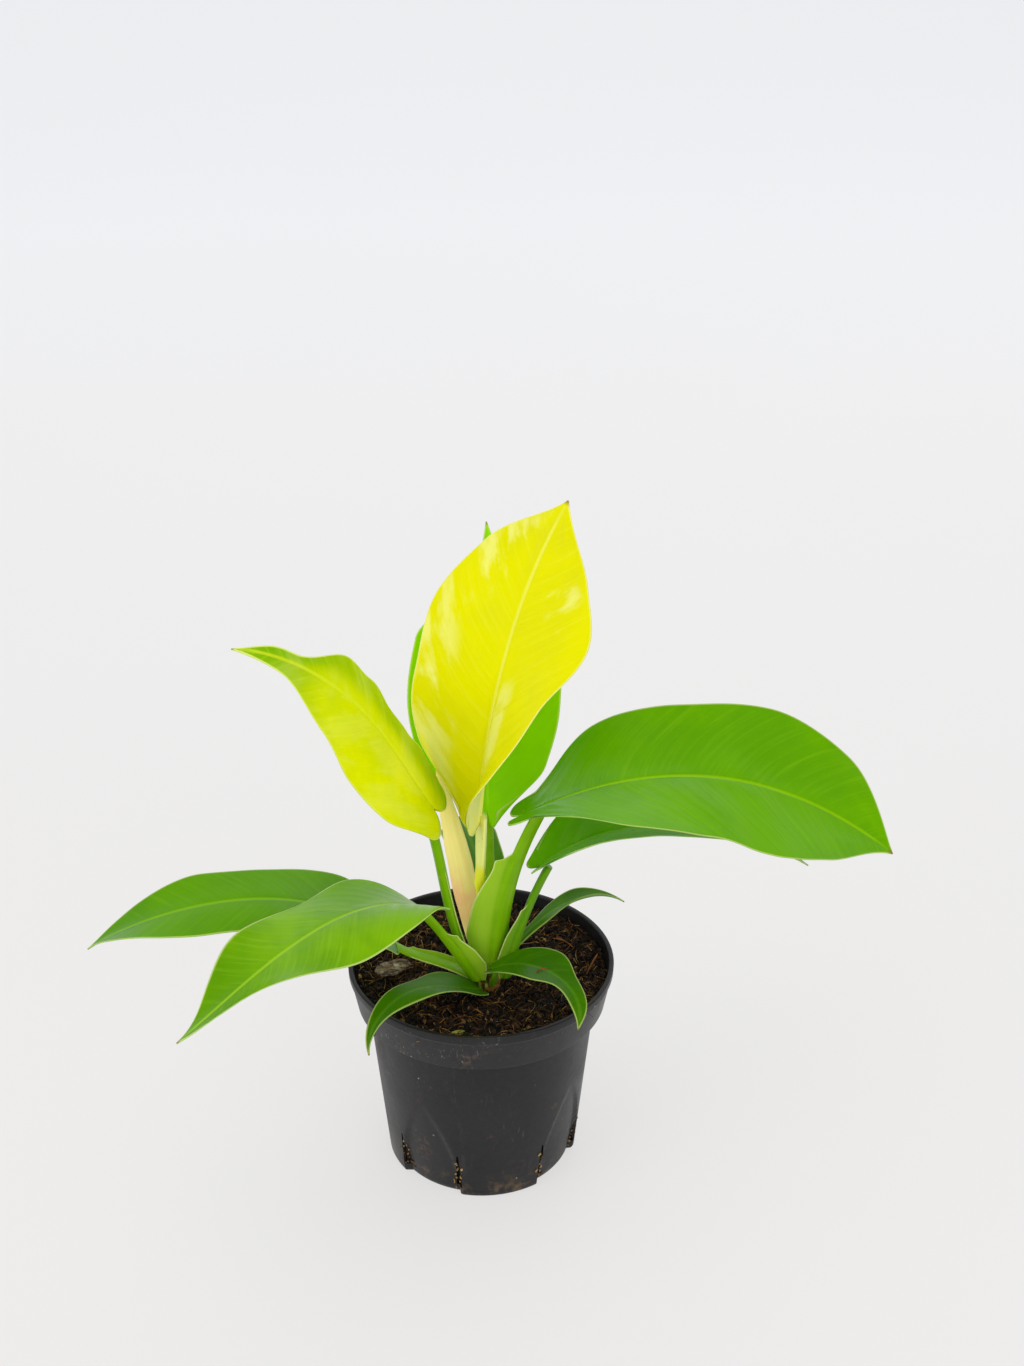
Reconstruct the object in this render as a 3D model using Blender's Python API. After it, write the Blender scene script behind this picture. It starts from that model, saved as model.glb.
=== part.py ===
"""Potted philodendron: a nursery pot, its soil, a short stem, a papery
cataphyll, a bark chip and eleven leaves, each a blade on its own stalk.

Metres, +Z up, -Y the front.  The origin is the centre of the pot's base.
Lengths in the leaf and stalk descriptions are millimetres, angles degrees.
"""
import math

import bpy
import bmesh
import numpy as np
from mathutils import Vector

# ---------------------------------------------------------------- main sizes
RIM_RADIUS = 0.0600          # outer radius at the top of the rim
POT_HEIGHT = 0.1010
COLLAR_HEIGHT = 0.0200       # the wider band under the rim
COLLAR_TAPER = 0.937         # collar's lower radius over the rim radius
BODY_TAPER = 0.860           # wall's top radius over the rim radius
BASE_TAPER = 0.723           # wall's bottom radius over the rim radius
LIP_HEIGHT = 0.0045          # bead around the very top
LIP_PROUD = 0.0007
WALL = 0.0012
FLOOR_THICK = 0.0016
PANEL_TURN = -79.0           # azimuth of the front standing panel
PANEL_HALF = 24.0            # half the width of a standing panel, degrees
RECESS_DEPTH = 0.0028        # how far the panels between them sink at the base
RECESS_TOP = 0.052           # height at which a recess starts
SLIT_TOP = 0.024             # height of the point of a drainage slit
SLIT_WIDTH = 0.0034          # width of a drainage slit at its foot
SLIT_FOOT = 0.0045
SOIL_DROP = 0.0065           # soil surface below the rim
STEM_RADIUS = 0.0054
STEM_HEIGHT = 0.0170         # above the soil
STEM_DEPTH = 0.0120          # buried
BLADE_THICK = 0.0007
GAP = 0.0003                 # clearance between touching pieces

STEM_X, STEM_Y = 0.0030, -0.0120
SOIL_TOP = POT_HEIGHT - SOIL_DROP
DATUM_SOIL = 94.5            # soil height, mm, for which leaf heights are given
SPREAD = RIM_RADIUS / 0.060  # low leaves reach out with the rim
AXIS = np.array([STEM_X, STEM_Y, 0.0])
WALL_LEVELS = np.linspace(0.0, RECESS_TOP, 9)

BLADE_ROWS = 12
BLADE_COLUMNS = 8
STALK_STEPS = 11
SHEATH_PLACE = (0.0, 0.3, 0.6, 0.88, 1.0, 1.12)
SHEATH_SHARE = (0.35, 1.0, 0.88, 0.5, 0.4, 0.0)
TURN_STEPS = 72              # steps round the pot and its soil

for old in list(bpy.data.objects):
    bpy.data.objects.remove(old, do_unlink=True)


# ---------------------------------------------------------------- helpers
def material(name, colour, roughness, coat=0.0):
    mat = bpy.data.materials.new(name)
    mat.use_nodes = True
    shader = mat.node_tree.nodes["Principled BSDF"]
    shader.inputs["Base Color"].default_value = (*colour, 1.0)
    shader.inputs["Roughness"].default_value = roughness
    shader.inputs["Coat Weight"].default_value = coat
    mat.diffuse_color = (*colour, 1.0)
    return mat


def solid(name, points, faces, colour, roughness, coat=0.0):
    """One closed body from points in metres, with its faces turned out."""
    mesh = bpy.data.meshes.new(name)
    bm = bmesh.new()
    verts = [bm.verts.new(Vector(p)) for p in points]
    for face in faces:
        corners = [verts[i] for i in face]
        if len(set(corners)) > 2:
            bm.faces.new(corners)
    bmesh.ops.triangulate(bm, faces=bm.faces)
    bmesh.ops.recalc_face_normals(bm, faces=bm.faces)
    bm.to_mesh(mesh)
    bm.free()
    obj = bpy.data.objects.new(name, mesh)
    bpy.context.collection.objects.link(obj)
    mesh.materials.append(material(name + "_finish", colour, roughness, coat))
    return obj


def tube(name, rings, colour, roughness, coat=0.0, strip=False):
    """Closed body through rings of points, capped by fans, or by strips where a ring is
    one side of a thin section followed by the other side in reverse."""
    count = len(rings[0])
    points = [p for ring in rings for p in ring]
    faces = []
    for i in range(len(rings) - 1):
        for j in range(count):
            k = (j + 1) % count
            faces.append((i * count + j, i * count + k, (i + 1) * count + k, (i + 1) * count + j))
    first, last = len(points), len(points) + 1
    if strip:
        top = (len(rings) - 1) * count
        for j in range(count // 2 - 1):
            far = count - 1 - j
            faces.append((j, far, far - 1, j + 1))
            faces.append((top + j, top + j + 1, top + far - 1, top + far))
        return solid(name, points, faces, colour, roughness, coat)
    points.append(np.mean(rings[0], axis=0))
    points.append(np.mean(rings[-1], axis=0))
    for j in range(count):
        k = (j + 1) % count
        faces.append((first, k, j))
        faces.append((last, (len(rings) - 1) * count + j, (len(rings) - 1) * count + k))
    return solid(name, points, faces, colour, roughness, coat)


def revolve(name, profile, steps, shift, colour, roughness, close=False):
    """Turn a profile of (radius, height, tag) and pass each point to shift."""
    points, faces = [], []
    for radius, height, tag in profile:
        for j in range(steps):
            angle = 2 * math.pi * j / steps
            r, z = shift(radius, height, tag, math.degrees(angle))
            points.append((r * math.cos(angle), r * math.sin(angle), z))
    rows = len(profile)
    for i in range(rows if close else rows - 1):
        a, b = i * steps, ((i + 1) % rows) * steps
        for j in range(steps):
            k = (j + 1) % steps
            faces.append((a + j, a + k, b + k, b + j))
    if not close:
        for row in (0, rows - 1):
            centre = len(points)
            points.append((0.0, 0.0, shift(0.0, profile[row][1], "centre", 0.0)[1]))
            for j in range(steps):
                faces.append((centre, row * steps + j, row * steps + (j + 1) % steps))
    return solid(name, points, faces, colour, roughness)


def hide_cutter(cutter):
    cutter.hide_render = True
    cutter.display_type = "WIRE"


def cut(target, cutter):
    """Subtract cutter and keep the result as target's own mesh."""
    hide_cutter(cutter)
    step = target.modifiers.new("cut", "BOOLEAN")
    step.operation = "DIFFERENCE"
    step.solver = "EXACT"
    step.object = cutter
    graph = bpy.context.evaluated_depsgraph_get()
    result = bpy.data.meshes.new_from_object(target.evaluated_get(graph))
    target.modifiers.clear()
    target.data = result
    bpy.data.objects.remove(cutter, do_unlink=True)


# ---------------------------------------------------------------- the pot
def wall_radius(z):
    """Plain outer radius of the wall, under the collar and in it."""
    collar_foot = POT_HEIGHT - COLLAR_HEIGHT
    if z >= collar_foot:
        k = (z - collar_foot) / COLLAR_HEIGHT
        return RIM_RADIUS * (COLLAR_TAPER + (1 - COLLAR_TAPER) * k)
    k = z / collar_foot
    return RIM_RADIUS * (BASE_TAPER + (BODY_TAPER - BASE_TAPER) * k)


def recess(z, degrees):
    """How far the wall sinks in between the four standing panels."""
    if z >= RECESS_TOP:
        return 0.0
    rise = 1.0 - z / RECESS_TOP
    off = abs((degrees - PANEL_TURN + 45.0) % 90.0 - 45.0)
    inside = (90.0 / 2 - PANEL_HALF) * (1 - (1 - rise) ** 2)
    edge = 45.0 - inside
    soft = min(max((off - edge) / 5.0, 0.0), 1.0)
    return RECESS_DEPTH * rise * soft


def pot_point(radius, height, tag, degrees):
    if tag == "wall":
        return radius - recess(height, degrees), height
    return radius, height


def make_pot():
    collar_foot = POT_HEIGHT - COLLAR_HEIGHT
    levels = list(WALL_LEVELS)
    profile = [(wall_radius(z), z, "wall") for z in levels]
    profile += [(wall_radius(collar_foot - 1e-5), collar_foot, "plain"),
                (wall_radius(collar_foot), collar_foot + 0.0006, "plain"),
                (wall_radius(POT_HEIGHT - LIP_HEIGHT), POT_HEIGHT - LIP_HEIGHT, "plain"),
                (wall_radius(POT_HEIGHT - LIP_HEIGHT) + LIP_PROUD,
                 POT_HEIGHT - LIP_HEIGHT + 0.0006, "plain"),
                (RIM_RADIUS, POT_HEIGHT - 0.0006, "plain"),
                (RIM_RADIUS - 0.0006, POT_HEIGHT, "plain"),
                (RIM_RADIUS - WALL - 0.0004, POT_HEIGHT, "plain"),
                (wall_radius(collar_foot) - WALL, collar_foot + 0.0006 + WALL, "plain"),
                (wall_radius(collar_foot - 1e-5) - WALL, collar_foot + 0.0004, "plain")]
    inner_floor = FLOOR_THICK
    profile += [(wall_radius(z) - WALL, z, "wall") for z in levels[:0:-1] if z > inner_floor]
    profile += [(wall_radius(inner_floor) - WALL, inner_floor, "wall")]
    count = TURN_STEPS
    points, faces = [], []
    rows = profile
    for radius, height, tag in rows:
        for j in range(count):
            angle = 2 * math.pi * j / count
            r, z = pot_point(radius, height, tag, math.degrees(angle))
            points.append((r * math.cos(angle), r * math.sin(angle), z))
    for i in range(len(rows) - 1):
        for j in range(count):
            k = (j + 1) % count
            faces.append((i * count + j, i * count + k, (i + 1) * count + k, (i + 1) * count + j))
    for row, height in ((0, 0.0), (len(rows) - 1, inner_floor)):
        centre = len(points)
        points.append((0.0, 0.0, height))
        for j in range(count):
            faces.append((centre, row * count + j, row * count + (j + 1) % count))
    pot = solid("pot", points, faces, (0.035, 0.034, 0.033), 0.5)
    for quarter in range(4):
        for side in (-1, 1):
            azimuth = math.radians(PANEL_TURN + 90 * quarter + side * (PANEL_HALF + 1.5))
            out = np.array([math.cos(azimuth), math.sin(azimuth), 0.0])
            along = np.array([-out[1], out[0], 0.0])
            near = wall_radius(0.0) - 3.6 * WALL - RECESS_DEPTH
            far = wall_radius(SLIT_TOP) + 0.004
            corners = [(-SLIT_WIDTH / 2, SLIT_FOOT), (SLIT_WIDTH / 2, SLIT_FOOT),
                       (0.0004, SLIT_TOP), (-0.0004, SLIT_TOP)]
            rings = [[out * r + along * a + np.array([0, 0, z]) for a, z in corners]
                     for r in (near, far)]
            cut(pot, tube("slit_cutter", rings, (0.5, 0.5, 0.5), 0.5))
    return pot


# ---------------------------------------------------------------- soil, stem
def soil_relief(x, y):
    """Gentle lumps of the soil's surface."""
    wave = (math.sin(x * 210 + 0.7) * math.cos(y * 190 - 0.4)
            + 0.6 * math.sin(x * 390 - y * 310 + 1.3))
    fade = min(1.0, max(0.0, math.hypot(x - STEM_X, y - STEM_Y) / 0.014 - 0.6))
    return 0.0009 * wave * fade


def make_soil():
    collar_foot = POT_HEIGHT - COLLAR_HEIGHT
    floor = FLOOR_THICK + GAP
    levels = [floor] + [z for z in WALL_LEVELS if z > floor + 0.001]
    inset = WALL + GAP
    profile = [(0.5 * wall_radius(floor), floor, "bottom")]
    profile += [(wall_radius(z) - inset, z, "wall") for z in levels]
    profile += [(wall_radius(collar_foot - 1e-5) - inset, collar_foot + 0.0004, "plain"),
                (wall_radius(collar_foot) - inset - 0.0002, collar_foot + 0.0012 + WALL, "plain")]
    edge = wall_radius(SOIL_TOP - 0.0008) - inset - 0.0006
    profile.append((edge, SOIL_TOP - 0.0008, "plain"))
    for k in (0.93, 0.82, 0.68, 0.54, 0.40, 0.26, 0.12):
        profile.append((edge * k, SOIL_TOP, "top"))

    def shift(radius, height, tag, degrees):
        if tag == "wall":
            return radius - recess(height, degrees), height
        if tag == "top":
            a = math.radians(degrees)
            return radius, height + soil_relief(radius * math.cos(a), radius * math.sin(a))
        return radius, height

    soil = revolve("soil", profile, TURN_STEPS, shift, (0.045, 0.025, 0.014), 0.95)
    cut(soil, stem_shape("stem_pocket", GAP))
    return soil


def stem_shape(name, grow=0.0):
    """The short stem; grown by the clearance it is its own pocket."""
    steps = 20
    low = SOIL_TOP - STEM_DEPTH - grow
    high = SOIL_TOP + STEM_HEIGHT + grow
    levels = [(0.0, 0.80), (0.30, 0.98), (0.46, 1.02), (0.52, 1.04), (0.58, 0.98), (0.66, 0.97),
              (0.74, 0.86), (0.86, 0.80), (0.94, 0.62), (1.0, 0.40)]
    rings = []
    for k, swell in levels:
        z = low + (high - low) * k
        radius = STEM_RADIUS * swell + grow
        rings.append([(STEM_X + radius * math.cos(2 * math.pi * j / steps),
                       STEM_Y + radius * math.sin(2 * math.pi * j / steps), z)
                      for j in range(steps)])
    return tube(name, rings, (0.09, 0.05, 0.02), 0.85)


# ---------------------------------------------------------------- leaves
def three(values, u):
    """Smooth run through a value at the base, the middle and the tip."""
    a, b, c = values
    return a * (1 - u) * (1 - 2 * u) + 4 * b * u * (1 - u) + c * u * (2 * u - 1)


def frames(leaf, u):
    """Direction, left side and upper side of the midrib at u."""
    h = np.radians(three(leaf["heading"], u))
    p = np.radians(three(leaf["pitch"], u))
    r = np.radians(three(leaf["roll"], u))
    ahead = np.stack([np.cos(p) * np.cos(h), np.cos(p) * np.sin(h), np.sin(p)], -1)
    level = np.stack([-np.sin(h), np.cos(h), 0 * h], -1)
    above = np.cross(ahead, level)
    left = np.cos(r)[..., None] * level + np.sin(r)[..., None] * above
    up = np.cos(r)[..., None] * above - np.sin(r)[..., None] * level
    return ahead, left, up


def half_width(leaf, u):
    """Half width from the five stations and a closed tip, as a smooth curve."""
    xs = np.array([0, .2, .4, .6, .8, 1.0])
    ys = np.array(list(leaf["widths"]) + [0.25])
    step = np.diff(ys) / np.diff(xs)
    slope = np.zeros(6)
    for i in range(1, 5):
        if step[i - 1] * step[i] > 0:
            slope[i] = 2 * step[i - 1] * step[i] / (step[i - 1] + step[i])
    slope[0], slope[5] = step[0] * 1.2, step[4] * 0.8
    i = np.clip(np.searchsorted(xs, u, side="right") - 1, 0, 4)
    w = xs[i + 1] - xs[i]
    t = (u - xs[i]) / w
    return ((1 + 2 * t) * (1 - t) ** 2 * ys[i] + t * (1 - t) ** 2 * w * slope[i]
            + t * t * (3 - 2 * t) * ys[i + 1] + t * t * (t - 1) * w * slope[i + 1])


def right_part(leaf, u):
    """Width of the right half as a share of the left, easing between even stations."""
    shares = np.array(leaf["right_share"])
    at = np.clip(u, 0, 1) * (len(shares) - 1)
    i = np.clip(at.astype(int), 0, len(shares) - 2)
    f = at - i
    return shares[i] + (shares[i + 1] - shares[i]) * f * f * (3 - 2 * f)


def leaf_surface(leaf, u, v):
    """Points in mm and upward normals of the blade at u along and v across."""
    length, lobe = leaf["length"], leaf["lobe"]
    side = np.abs(v)
    along = u - lobe / length * np.sin(np.pi * side) * (1 - u) ** 4
    grid = np.linspace(0, 1, 61)
    ahead = frames(leaf, (grid[:-1] + grid[1:]) / 2)[0]
    rib = np.vstack([[0, 0, 0], np.cumsum(ahead * length / 60, 0)]) + np.array(leaf["base"])
    inside = np.clip(along, 0, 1)
    centre = np.stack([np.interp(inside, grid, rib[:, i]) for i in range(3)], -1)
    ahead, left, up = frames(leaf, inside)
    centre = centre + np.where(along < 0, along * length, 0)[..., None] * ahead
    width = np.maximum(half_width(leaf, u) * np.where(v >= 0, 1, right_part(leaf, u)), 1e-6)
    round_base = (1 - u) ** 6
    x = width * (side * (1 - round_base) + round_base * (1 - np.cos(np.pi * side)) / 2)
    is_left = v >= 0

    def pick(pair):
        return np.where(is_left, pair[0], pair[1])

    fold = np.radians(pick((leaf["fold_left"][0], leaf["fold_right"][0])) * (1 - inside)
                      + pick((leaf["fold_left"][1], leaf["fold_right"][1])) * inside)
    curl = np.radians(pick(leaf["curl"])) + 1e-5
    t = x / width
    across = width * (np.sin(fold + curl * t) - np.sin(fold)) / curl
    lift = width * (np.cos(fold) - np.cos(fold + curl * t)) / curl
    wave = leaf["wave_left"], leaf["wave_right"]
    size, cycles, phase = [pick((wave[0][i], wave[1][i])) for i in range(3)]
    lift = lift + size * t ** 2 * np.sin(2 * np.pi * (cycles * u + phase)) * np.sin(np.pi * u)
    across = np.where(is_left, across, -across)
    tilt = fold + curl * t
    normal = (np.cos(tilt)[..., None] * up
              - (np.where(is_left, 1, -1) * np.sin(tilt))[..., None] * left)
    return centre + across[..., None] * left + lift[..., None] * up, normal


def place(points_mm):
    """From the leaf datum, in mm, to the model: the crown rises with the soil."""
    points = np.array(points_mm) / 1000.0
    points[..., 2] += SOIL_TOP - DATUM_SOIL / 1000.0
    return points


def make_blade(name, leaf, colour):
    rows, cols = BLADE_ROWS, BLADE_COLUMNS
    u = np.repeat(np.linspace(0, 1, rows + 1) ** 0.9, cols + 1).reshape(rows + 1, cols + 1)
    v = np.tile(np.linspace(1, -1, cols + 1), (rows + 1, 1))
    points, normal = leaf_surface(leaf, u, v)
    half = BLADE_THICK * 500.0
    top, under = points + normal * half, points - normal * half
    flat = [p for row in place(top) for p in row] + [p for row in place(under) for p in row]
    lower = (rows + 1) * (cols + 1)

    def at(i, j):
        return i * (cols + 1) + j

    faces = []
    for i in range(rows):
        for j in range(cols):
            quad = (at(i, j), at(i, j + 1), at(i + 1, j + 1), at(i + 1, j))
            faces.append(quad)
            faces.append(tuple(lower + q for q in reversed(quad)))
    rim = ([at(0, j) for j in range(cols)] + [at(i, cols) for i in range(rows)]
           + [at(rows, j) for j in range(cols, 0, -1)] + [at(i, 0) for i in range(rows, 0, -1)])
    for a, b in zip(rim, rim[1:] + rim[:1]):
        faces.append((b, a, lower + a, lower + b))
    return solid(name, flat, faces, colour, 0.32, 0.3)


def stalk_path(leaf, t):
    """Centre line of the stalk in mm, from its foot on the stem to the blade."""
    stalk = leaf["stalk"]
    azimuth = math.radians(stalk["azimuth"])
    out = np.array([math.cos(azimuth), math.sin(azimuth), 0.0])
    reach = stalk["foot_radius"] * STEM_RADIUS / 0.0054
    foot = AXIS * 1000 + out * reach + np.array([0, 0, DATUM_SOIL + stalk["rise"]])
    ahead, left, up = frames(leaf, np.array([0.0]))
    lean = math.radians(stalk["lean"])
    start = out * math.sin(lean) + np.array([0, 0, math.cos(lean)])
    chord = np.array(leaf["base"]) - foot
    reach = np.linalg.norm(chord)
    finish = chord / reach * (1 - stalk["follow"]) + ahead[0] * stalk["follow"]
    finish /= np.linalg.norm(finish)
    side_foot = np.array([-out[1], out[0], 0.0])
    broad = (1 - stalk["twist"]) * side_foot + stalk["twist"] * left[0]
    broad -= (broad @ finish) * finish
    broad /= np.linalg.norm(broad)
    drop = (stalk["thick"] / 2 * abs(float(np.cross(finish, broad) @ up[0]))
            + stalk["wide"] / 2 * abs(float(broad @ up[0]))
            + BLADE_THICK * 500 + GAP * 1000 + 0.25)
    top = np.array(leaf["base"]) - up[0] * drop
    a, b = foot + start * reach * 0.4, top - finish * reach * 0.35
    t = np.asarray(t, float)[..., None]
    path = ((1 - t) ** 3 * foot + 3 * t * (1 - t) ** 2 * a + 3 * t * t * (1 - t) * b + t ** 3 * top)
    tangent = (3 * (1 - t) ** 2 * (a - foot) + 6 * t * (1 - t) * (b - a) + 3 * t * t * (top - b))
    tangent /= np.linalg.norm(tangent, axis=-1, keepdims=True)
    turned = t * stalk["twist"]
    side = (1 - turned) * side_foot + turned * left[0]
    side -= (side * tangent).sum(-1, keepdims=True) * tangent
    side /= np.linalg.norm(side, axis=-1, keepdims=True)
    return path, tangent, side, np.cross(tangent, side)


def stalk_ring(leaf, t, path, side, inner, arcs):
    """Section of the stalk: a thick middle and, low down, thin sheath wings."""
    stalk = leaf["stalk"]
    k = min(max((t - stalk["sheath"] * 0.8) / (1 - stalk["sheath"] * 0.8), 0.0), 1.0)
    flare = min(max((t - 0.5) / 0.4, 0.0), 1.0)
    wide = stalk["wide"] * (1 + (stalk["flare"] - 1) * flare * flare * (3 - 2 * flare))
    sheath = np.interp(t / stalk["sheath"], SHEATH_PLACE, SHEATH_SHARE)
    curve = stalk["wrap"] + (14.0 - stalk["wrap"]) * k
    outer_side, inner_side = [], []
    for s in np.linspace(-1, 1, arcs):
        wing = stalk["wing_left"] if s >= 0 else stalk["wing_right"]
        reach = wide / 2 + wing * sheath
        angle = reach * s / curve
        middle = abs(reach * s) / (wide / 2)
        body = math.sqrt(max(0.0, 1 - min(middle, 1.0) ** 2))
        thick = max(0.55 - 0.25 * k, stalk["thick"] * body)
        for sign, line in ((-0.5, outer_side), (0.5, inner_side)):
            r = curve - sign * thick
            line.append(path + side * r * math.sin(angle) + inner * (curve - r * math.cos(angle)))
    return outer_side + inner_side[::-1]


def make_stalk(name, leaf, colour):
    steps = STALK_STEPS
    ts = np.linspace(0, 1, steps)
    path, tangent, side, inner = stalk_path(leaf, ts)
    rings = [place(stalk_ring(leaf, ts[i], path[i], side[i], inner[i], 9)) for i in range(steps)]
    return tube(name, rings, colour, 0.38, 0.25, strip=True)


def stalk(azimuth, rise, foot_radius, lean=12, follow=0.3, wide=5.0, thick=2.6, sheath=0.6,
          wing_left=1.0, wing_right=1.0, wrap=7.0, flare=1.0, twist=1.0):
    return dict(azimuth=azimuth, rise=rise, foot_radius=foot_radius, lean=lean, follow=follow,
                wide=wide, thick=thick, sheath=sheath, wing_left=wing_left,
                wing_right=wing_right, wrap=wrap, flare=flare, twist=twist)


def blade(base, length, heading, pitch, roll, widths, fold_left, fold_right, curl, lobe,
          wave_left, wave_right, stalk, right_share=(1.0, 1.0)):
    return dict(right_share=right_share, base=base, length=length, heading=heading,
                pitch=pitch, roll=roll,
                widths=widths, fold_left=fold_left, fold_right=fold_right, curl=curl, lobe=lobe,
                wave_left=wave_left, wave_right=wave_right, stalk=stalk)


def low_leaf(leaf):
    """A leaf that lies over the rim reaches out with it and clears a thicker stem."""
    azimuth = math.radians(leaf["stalk"]["azimuth"])
    out = np.array([math.cos(azimuth), math.sin(azimuth), 0.0])
    leaf["length"] *= 1 + (SPREAD - 1) * 1.15
    leaf["base"] = tuple(np.array(leaf["base"]) + out * (STEM_RADIUS - 0.0054) * 1000)
    return leaf


# youngest to oldest, in mm and degrees, for the datum soil height
LEAVES = {
    "leaf_01": blade((-0.5, -7, 180.5), 143, (61, 44, 31), (80, 69, 54), (-41, 1, -21),
                     (10.5, 32, 34, 42, 29), (27, 8), (47, -29), (13, 0), 8,
                     (-6.5, 1.6, -0.8), (1, 1, 0),
                     stalk(190, 17.5, 4.0, lean=0, wide=5.2, thick=3.0, wing_left=0, wing_right=0,
                           flare=1.9)),
    "leaf_02": blade((-21.0, -6.5, 185.6), 122, (191, 191, 151), (59, 51, -13), (-12, -27, -3),
                     (20, 32, 33.6, 24.5, 6.6), (-2, -4), (17, 7), (-12, 5), 9,
                     (-3.5, 1.1, 0.1), (-2, 0.7, 0.1),
                     stalk(198, 12, 7.4, lean=24, wide=7.2, thick=4.4, wing_left=1.0, wing_right=1.0,
                           twist=0.3),
                     right_share=(0.65, 0.55, 0.44, 0.40, 0.50, 0.66, 0.44, 1.0, 0.6)),
    "leaf_03": blade((24.5, -10.5, 185.5), 177, (4, 14, -13), (25, -17, -37), (-19, 21, 12),
                     (18, 34, 35, 39, 28), (0, 24), (4, -1), (18, -2), 13,
                     (3, 1.2, 0), (-2.5, 1.1, -0.1),
                     stalk(310, 12, 7.0, lean=4, wide=9.4, thick=3.2, sheath=0.68,
                           wing_left=0.0, wing_right=11.8, wrap=12.0, twist=0.15)),
    "leaf_04": blade((3.5, 19, 167.5), 129, (91, 85, 101), (76, 70, 55), (-7, -4, 4),
                     (5, 31, 36, 33, 9), (13, 2), (22, 0), (9, 14), 8,
                     (0.5, 1, 0), (0, 1, 0),
                     stalk(75, 10, 6.8, lean=8, follow=0.9, wide=4.2)),
    "leaf_05": blade((-25.5, -25, 145), 130, (211, 219, 201), (33, -13, -35), (19, 5, 18),
                     (18, 28, 27, 21, 11.5), (8, -8), (2, 0), (-4, 15), 3,
                     (-7.5, 1.1, -0.1), (-8, 1.3, -0.2),
                     stalk(225, 8.5, 9.0, lean=30, wide=7.8, thick=3.0, sheath=0.6, wing_left=7.0,
                           wing_right=1.5, wrap=10)),
    "leaf_06": blade((28.5, -8, 157), 129, (18, 7, 11), (30, -9, -38), (-5, 0, -3),
                     (7.5, 24, 21, 16, 10), (12, 2), (17, 3), (15, 18), 8,
                     (0.5, 1, 0), (-1.5, 1, -0.2),
                     stalk(330, 9, 10.0, lean=12, wide=7.0, thick=3.6, sheath=0.6, wing_left=2.0,
                           wing_right=5.5, wrap=10, twist=0.4)),
    "leaf_07": blade((-39, -13, 120), 149, (183, 190, 159), (47, 1, -42), (0, -7, 5),
                     (12, 22, 20, 20, 12.5), (3, 0), (3, 4), (7, 11), 3,
                     (-2.5, 0.9, -0.2), (-3, 1, -0.2),
                     stalk(175, 4.5, 8.0, lean=55, follow=0.85, wide=5.8, thick=2.4, sheath=0.7,
                           wing_left=1.5, wing_right=3.0, wrap=9)),
    "leaf_08": blade((1.5, 17, 132), 57, (100, 102, 93), (16, 1, -14), (1, 3, 0),
                     (10, 12, 12.5, 13, 8), (0, 0), (0, 0), (10, 8), 8,
                     (0, 1, 0), (0, 1, 0),
                     stalk(98, 4, 7.4, lean=38, wide=4.0, thick=2.2)),
    "leaf_09": blade((14, 0, 105.3), 65, (30, 27, 21), (46, 11, -42), (-1, -10, -3),
                     (2, 3.5, 6.5, 7.5, 4), (0, 0), (5, 8), (10, 15), 2,
                     (-1.5, 1, 0), (-2, 1, 0.1),
                     stalk(50, 3, 7.2, lean=55, wide=3.0, thick=1.8, wing_left=0.4,
                           wing_right=0.4)),
    "leaf_10": blade((6.5, -29.3, 116.2), 62, (-25, -44, -110), (33, -6, -25), (2, -2, -5),
                     (5, 10.5, 12.5, 6.5, 4), (4, 0), (4, 5), (10, 12), 5,
                     (1, 1, 0), (-0.5, 1, 0),
                     stalk(-75, 5, 7.0, lean=40, wide=3.2, thick=1.8, wing_left=0.4,
                           wing_right=0.4)),
    "leaf_11": blade((-2.5, -22, 99.5), 75, (211, 221, 228), (25, 5, -99), (-3, 4, 3),
                     (6, 11.5, 8.5, 6.5, 3.2), (5, 4), (6, 2), (9, 9), 5,
                     (2, 1.2, 0.1), (-2, 1, -0.1),
                     stalk(240, 2.0, 7.0, lean=70, follow=0.5, wide=3.0, thick=1.6,
                           wing_left=0.2, wing_right=0.2)),
}
COLOURS = {
    "leaf_01": (0.80, 0.78, 0.01), "leaf_02": (0.60, 0.72, 0.01), "leaf_03": (0.13, 0.37, 0.01),
    "leaf_04": (0.18, 0.42, 0.02), "leaf_05": (0.20, 0.42, 0.02), "leaf_06": (0.06, 0.22, 0.01),
    "leaf_07": (0.15, 0.36, 0.02), "leaf_08": (0.10, 0.24, 0.03), "leaf_09": (0.10, 0.15, 0.02),
    "leaf_10": (0.07, 0.14, 0.01), "leaf_11": (0.06, 0.13, 0.01)}
RIM_LEAVES = ("leaf_10", "leaf_11")


def make_cataphyll():
    """Papery sheath beside the youngest leaf: a thin gutter that ends in a point."""
    foot, middle, tip = (-2.8, -7.2, 112.5), (-8.8, 3.5, 146.0), (-18.5, 17.0, 189.0)
    rings = []
    for t in np.linspace(0, 1, 9):
        centre = np.array([three(way, t) for way in zip(foot, middle, tip)])
        reach = 0.8 + 5.2 * math.sin(math.pi * min(1.0, 0.12 + 0.88 * t)) ** 0.8
        outer, inner = [], []
        for s in np.linspace(-1, 1, 7):
            angle = s * 1.15
            for r, line in ((reach, outer), (reach - 0.5 + 0.2 * t, inner)):
                r = max(r, 0.3)
                line.append(centre + np.array([r * math.sin(angle), -r * math.cos(angle) + reach,
                                               0.0]))
        rings.append(place(outer + inner[::-1]))
    return tube("cataphyll", rings, (0.70, 0.52, 0.20), 0.55, strip=True)


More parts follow.
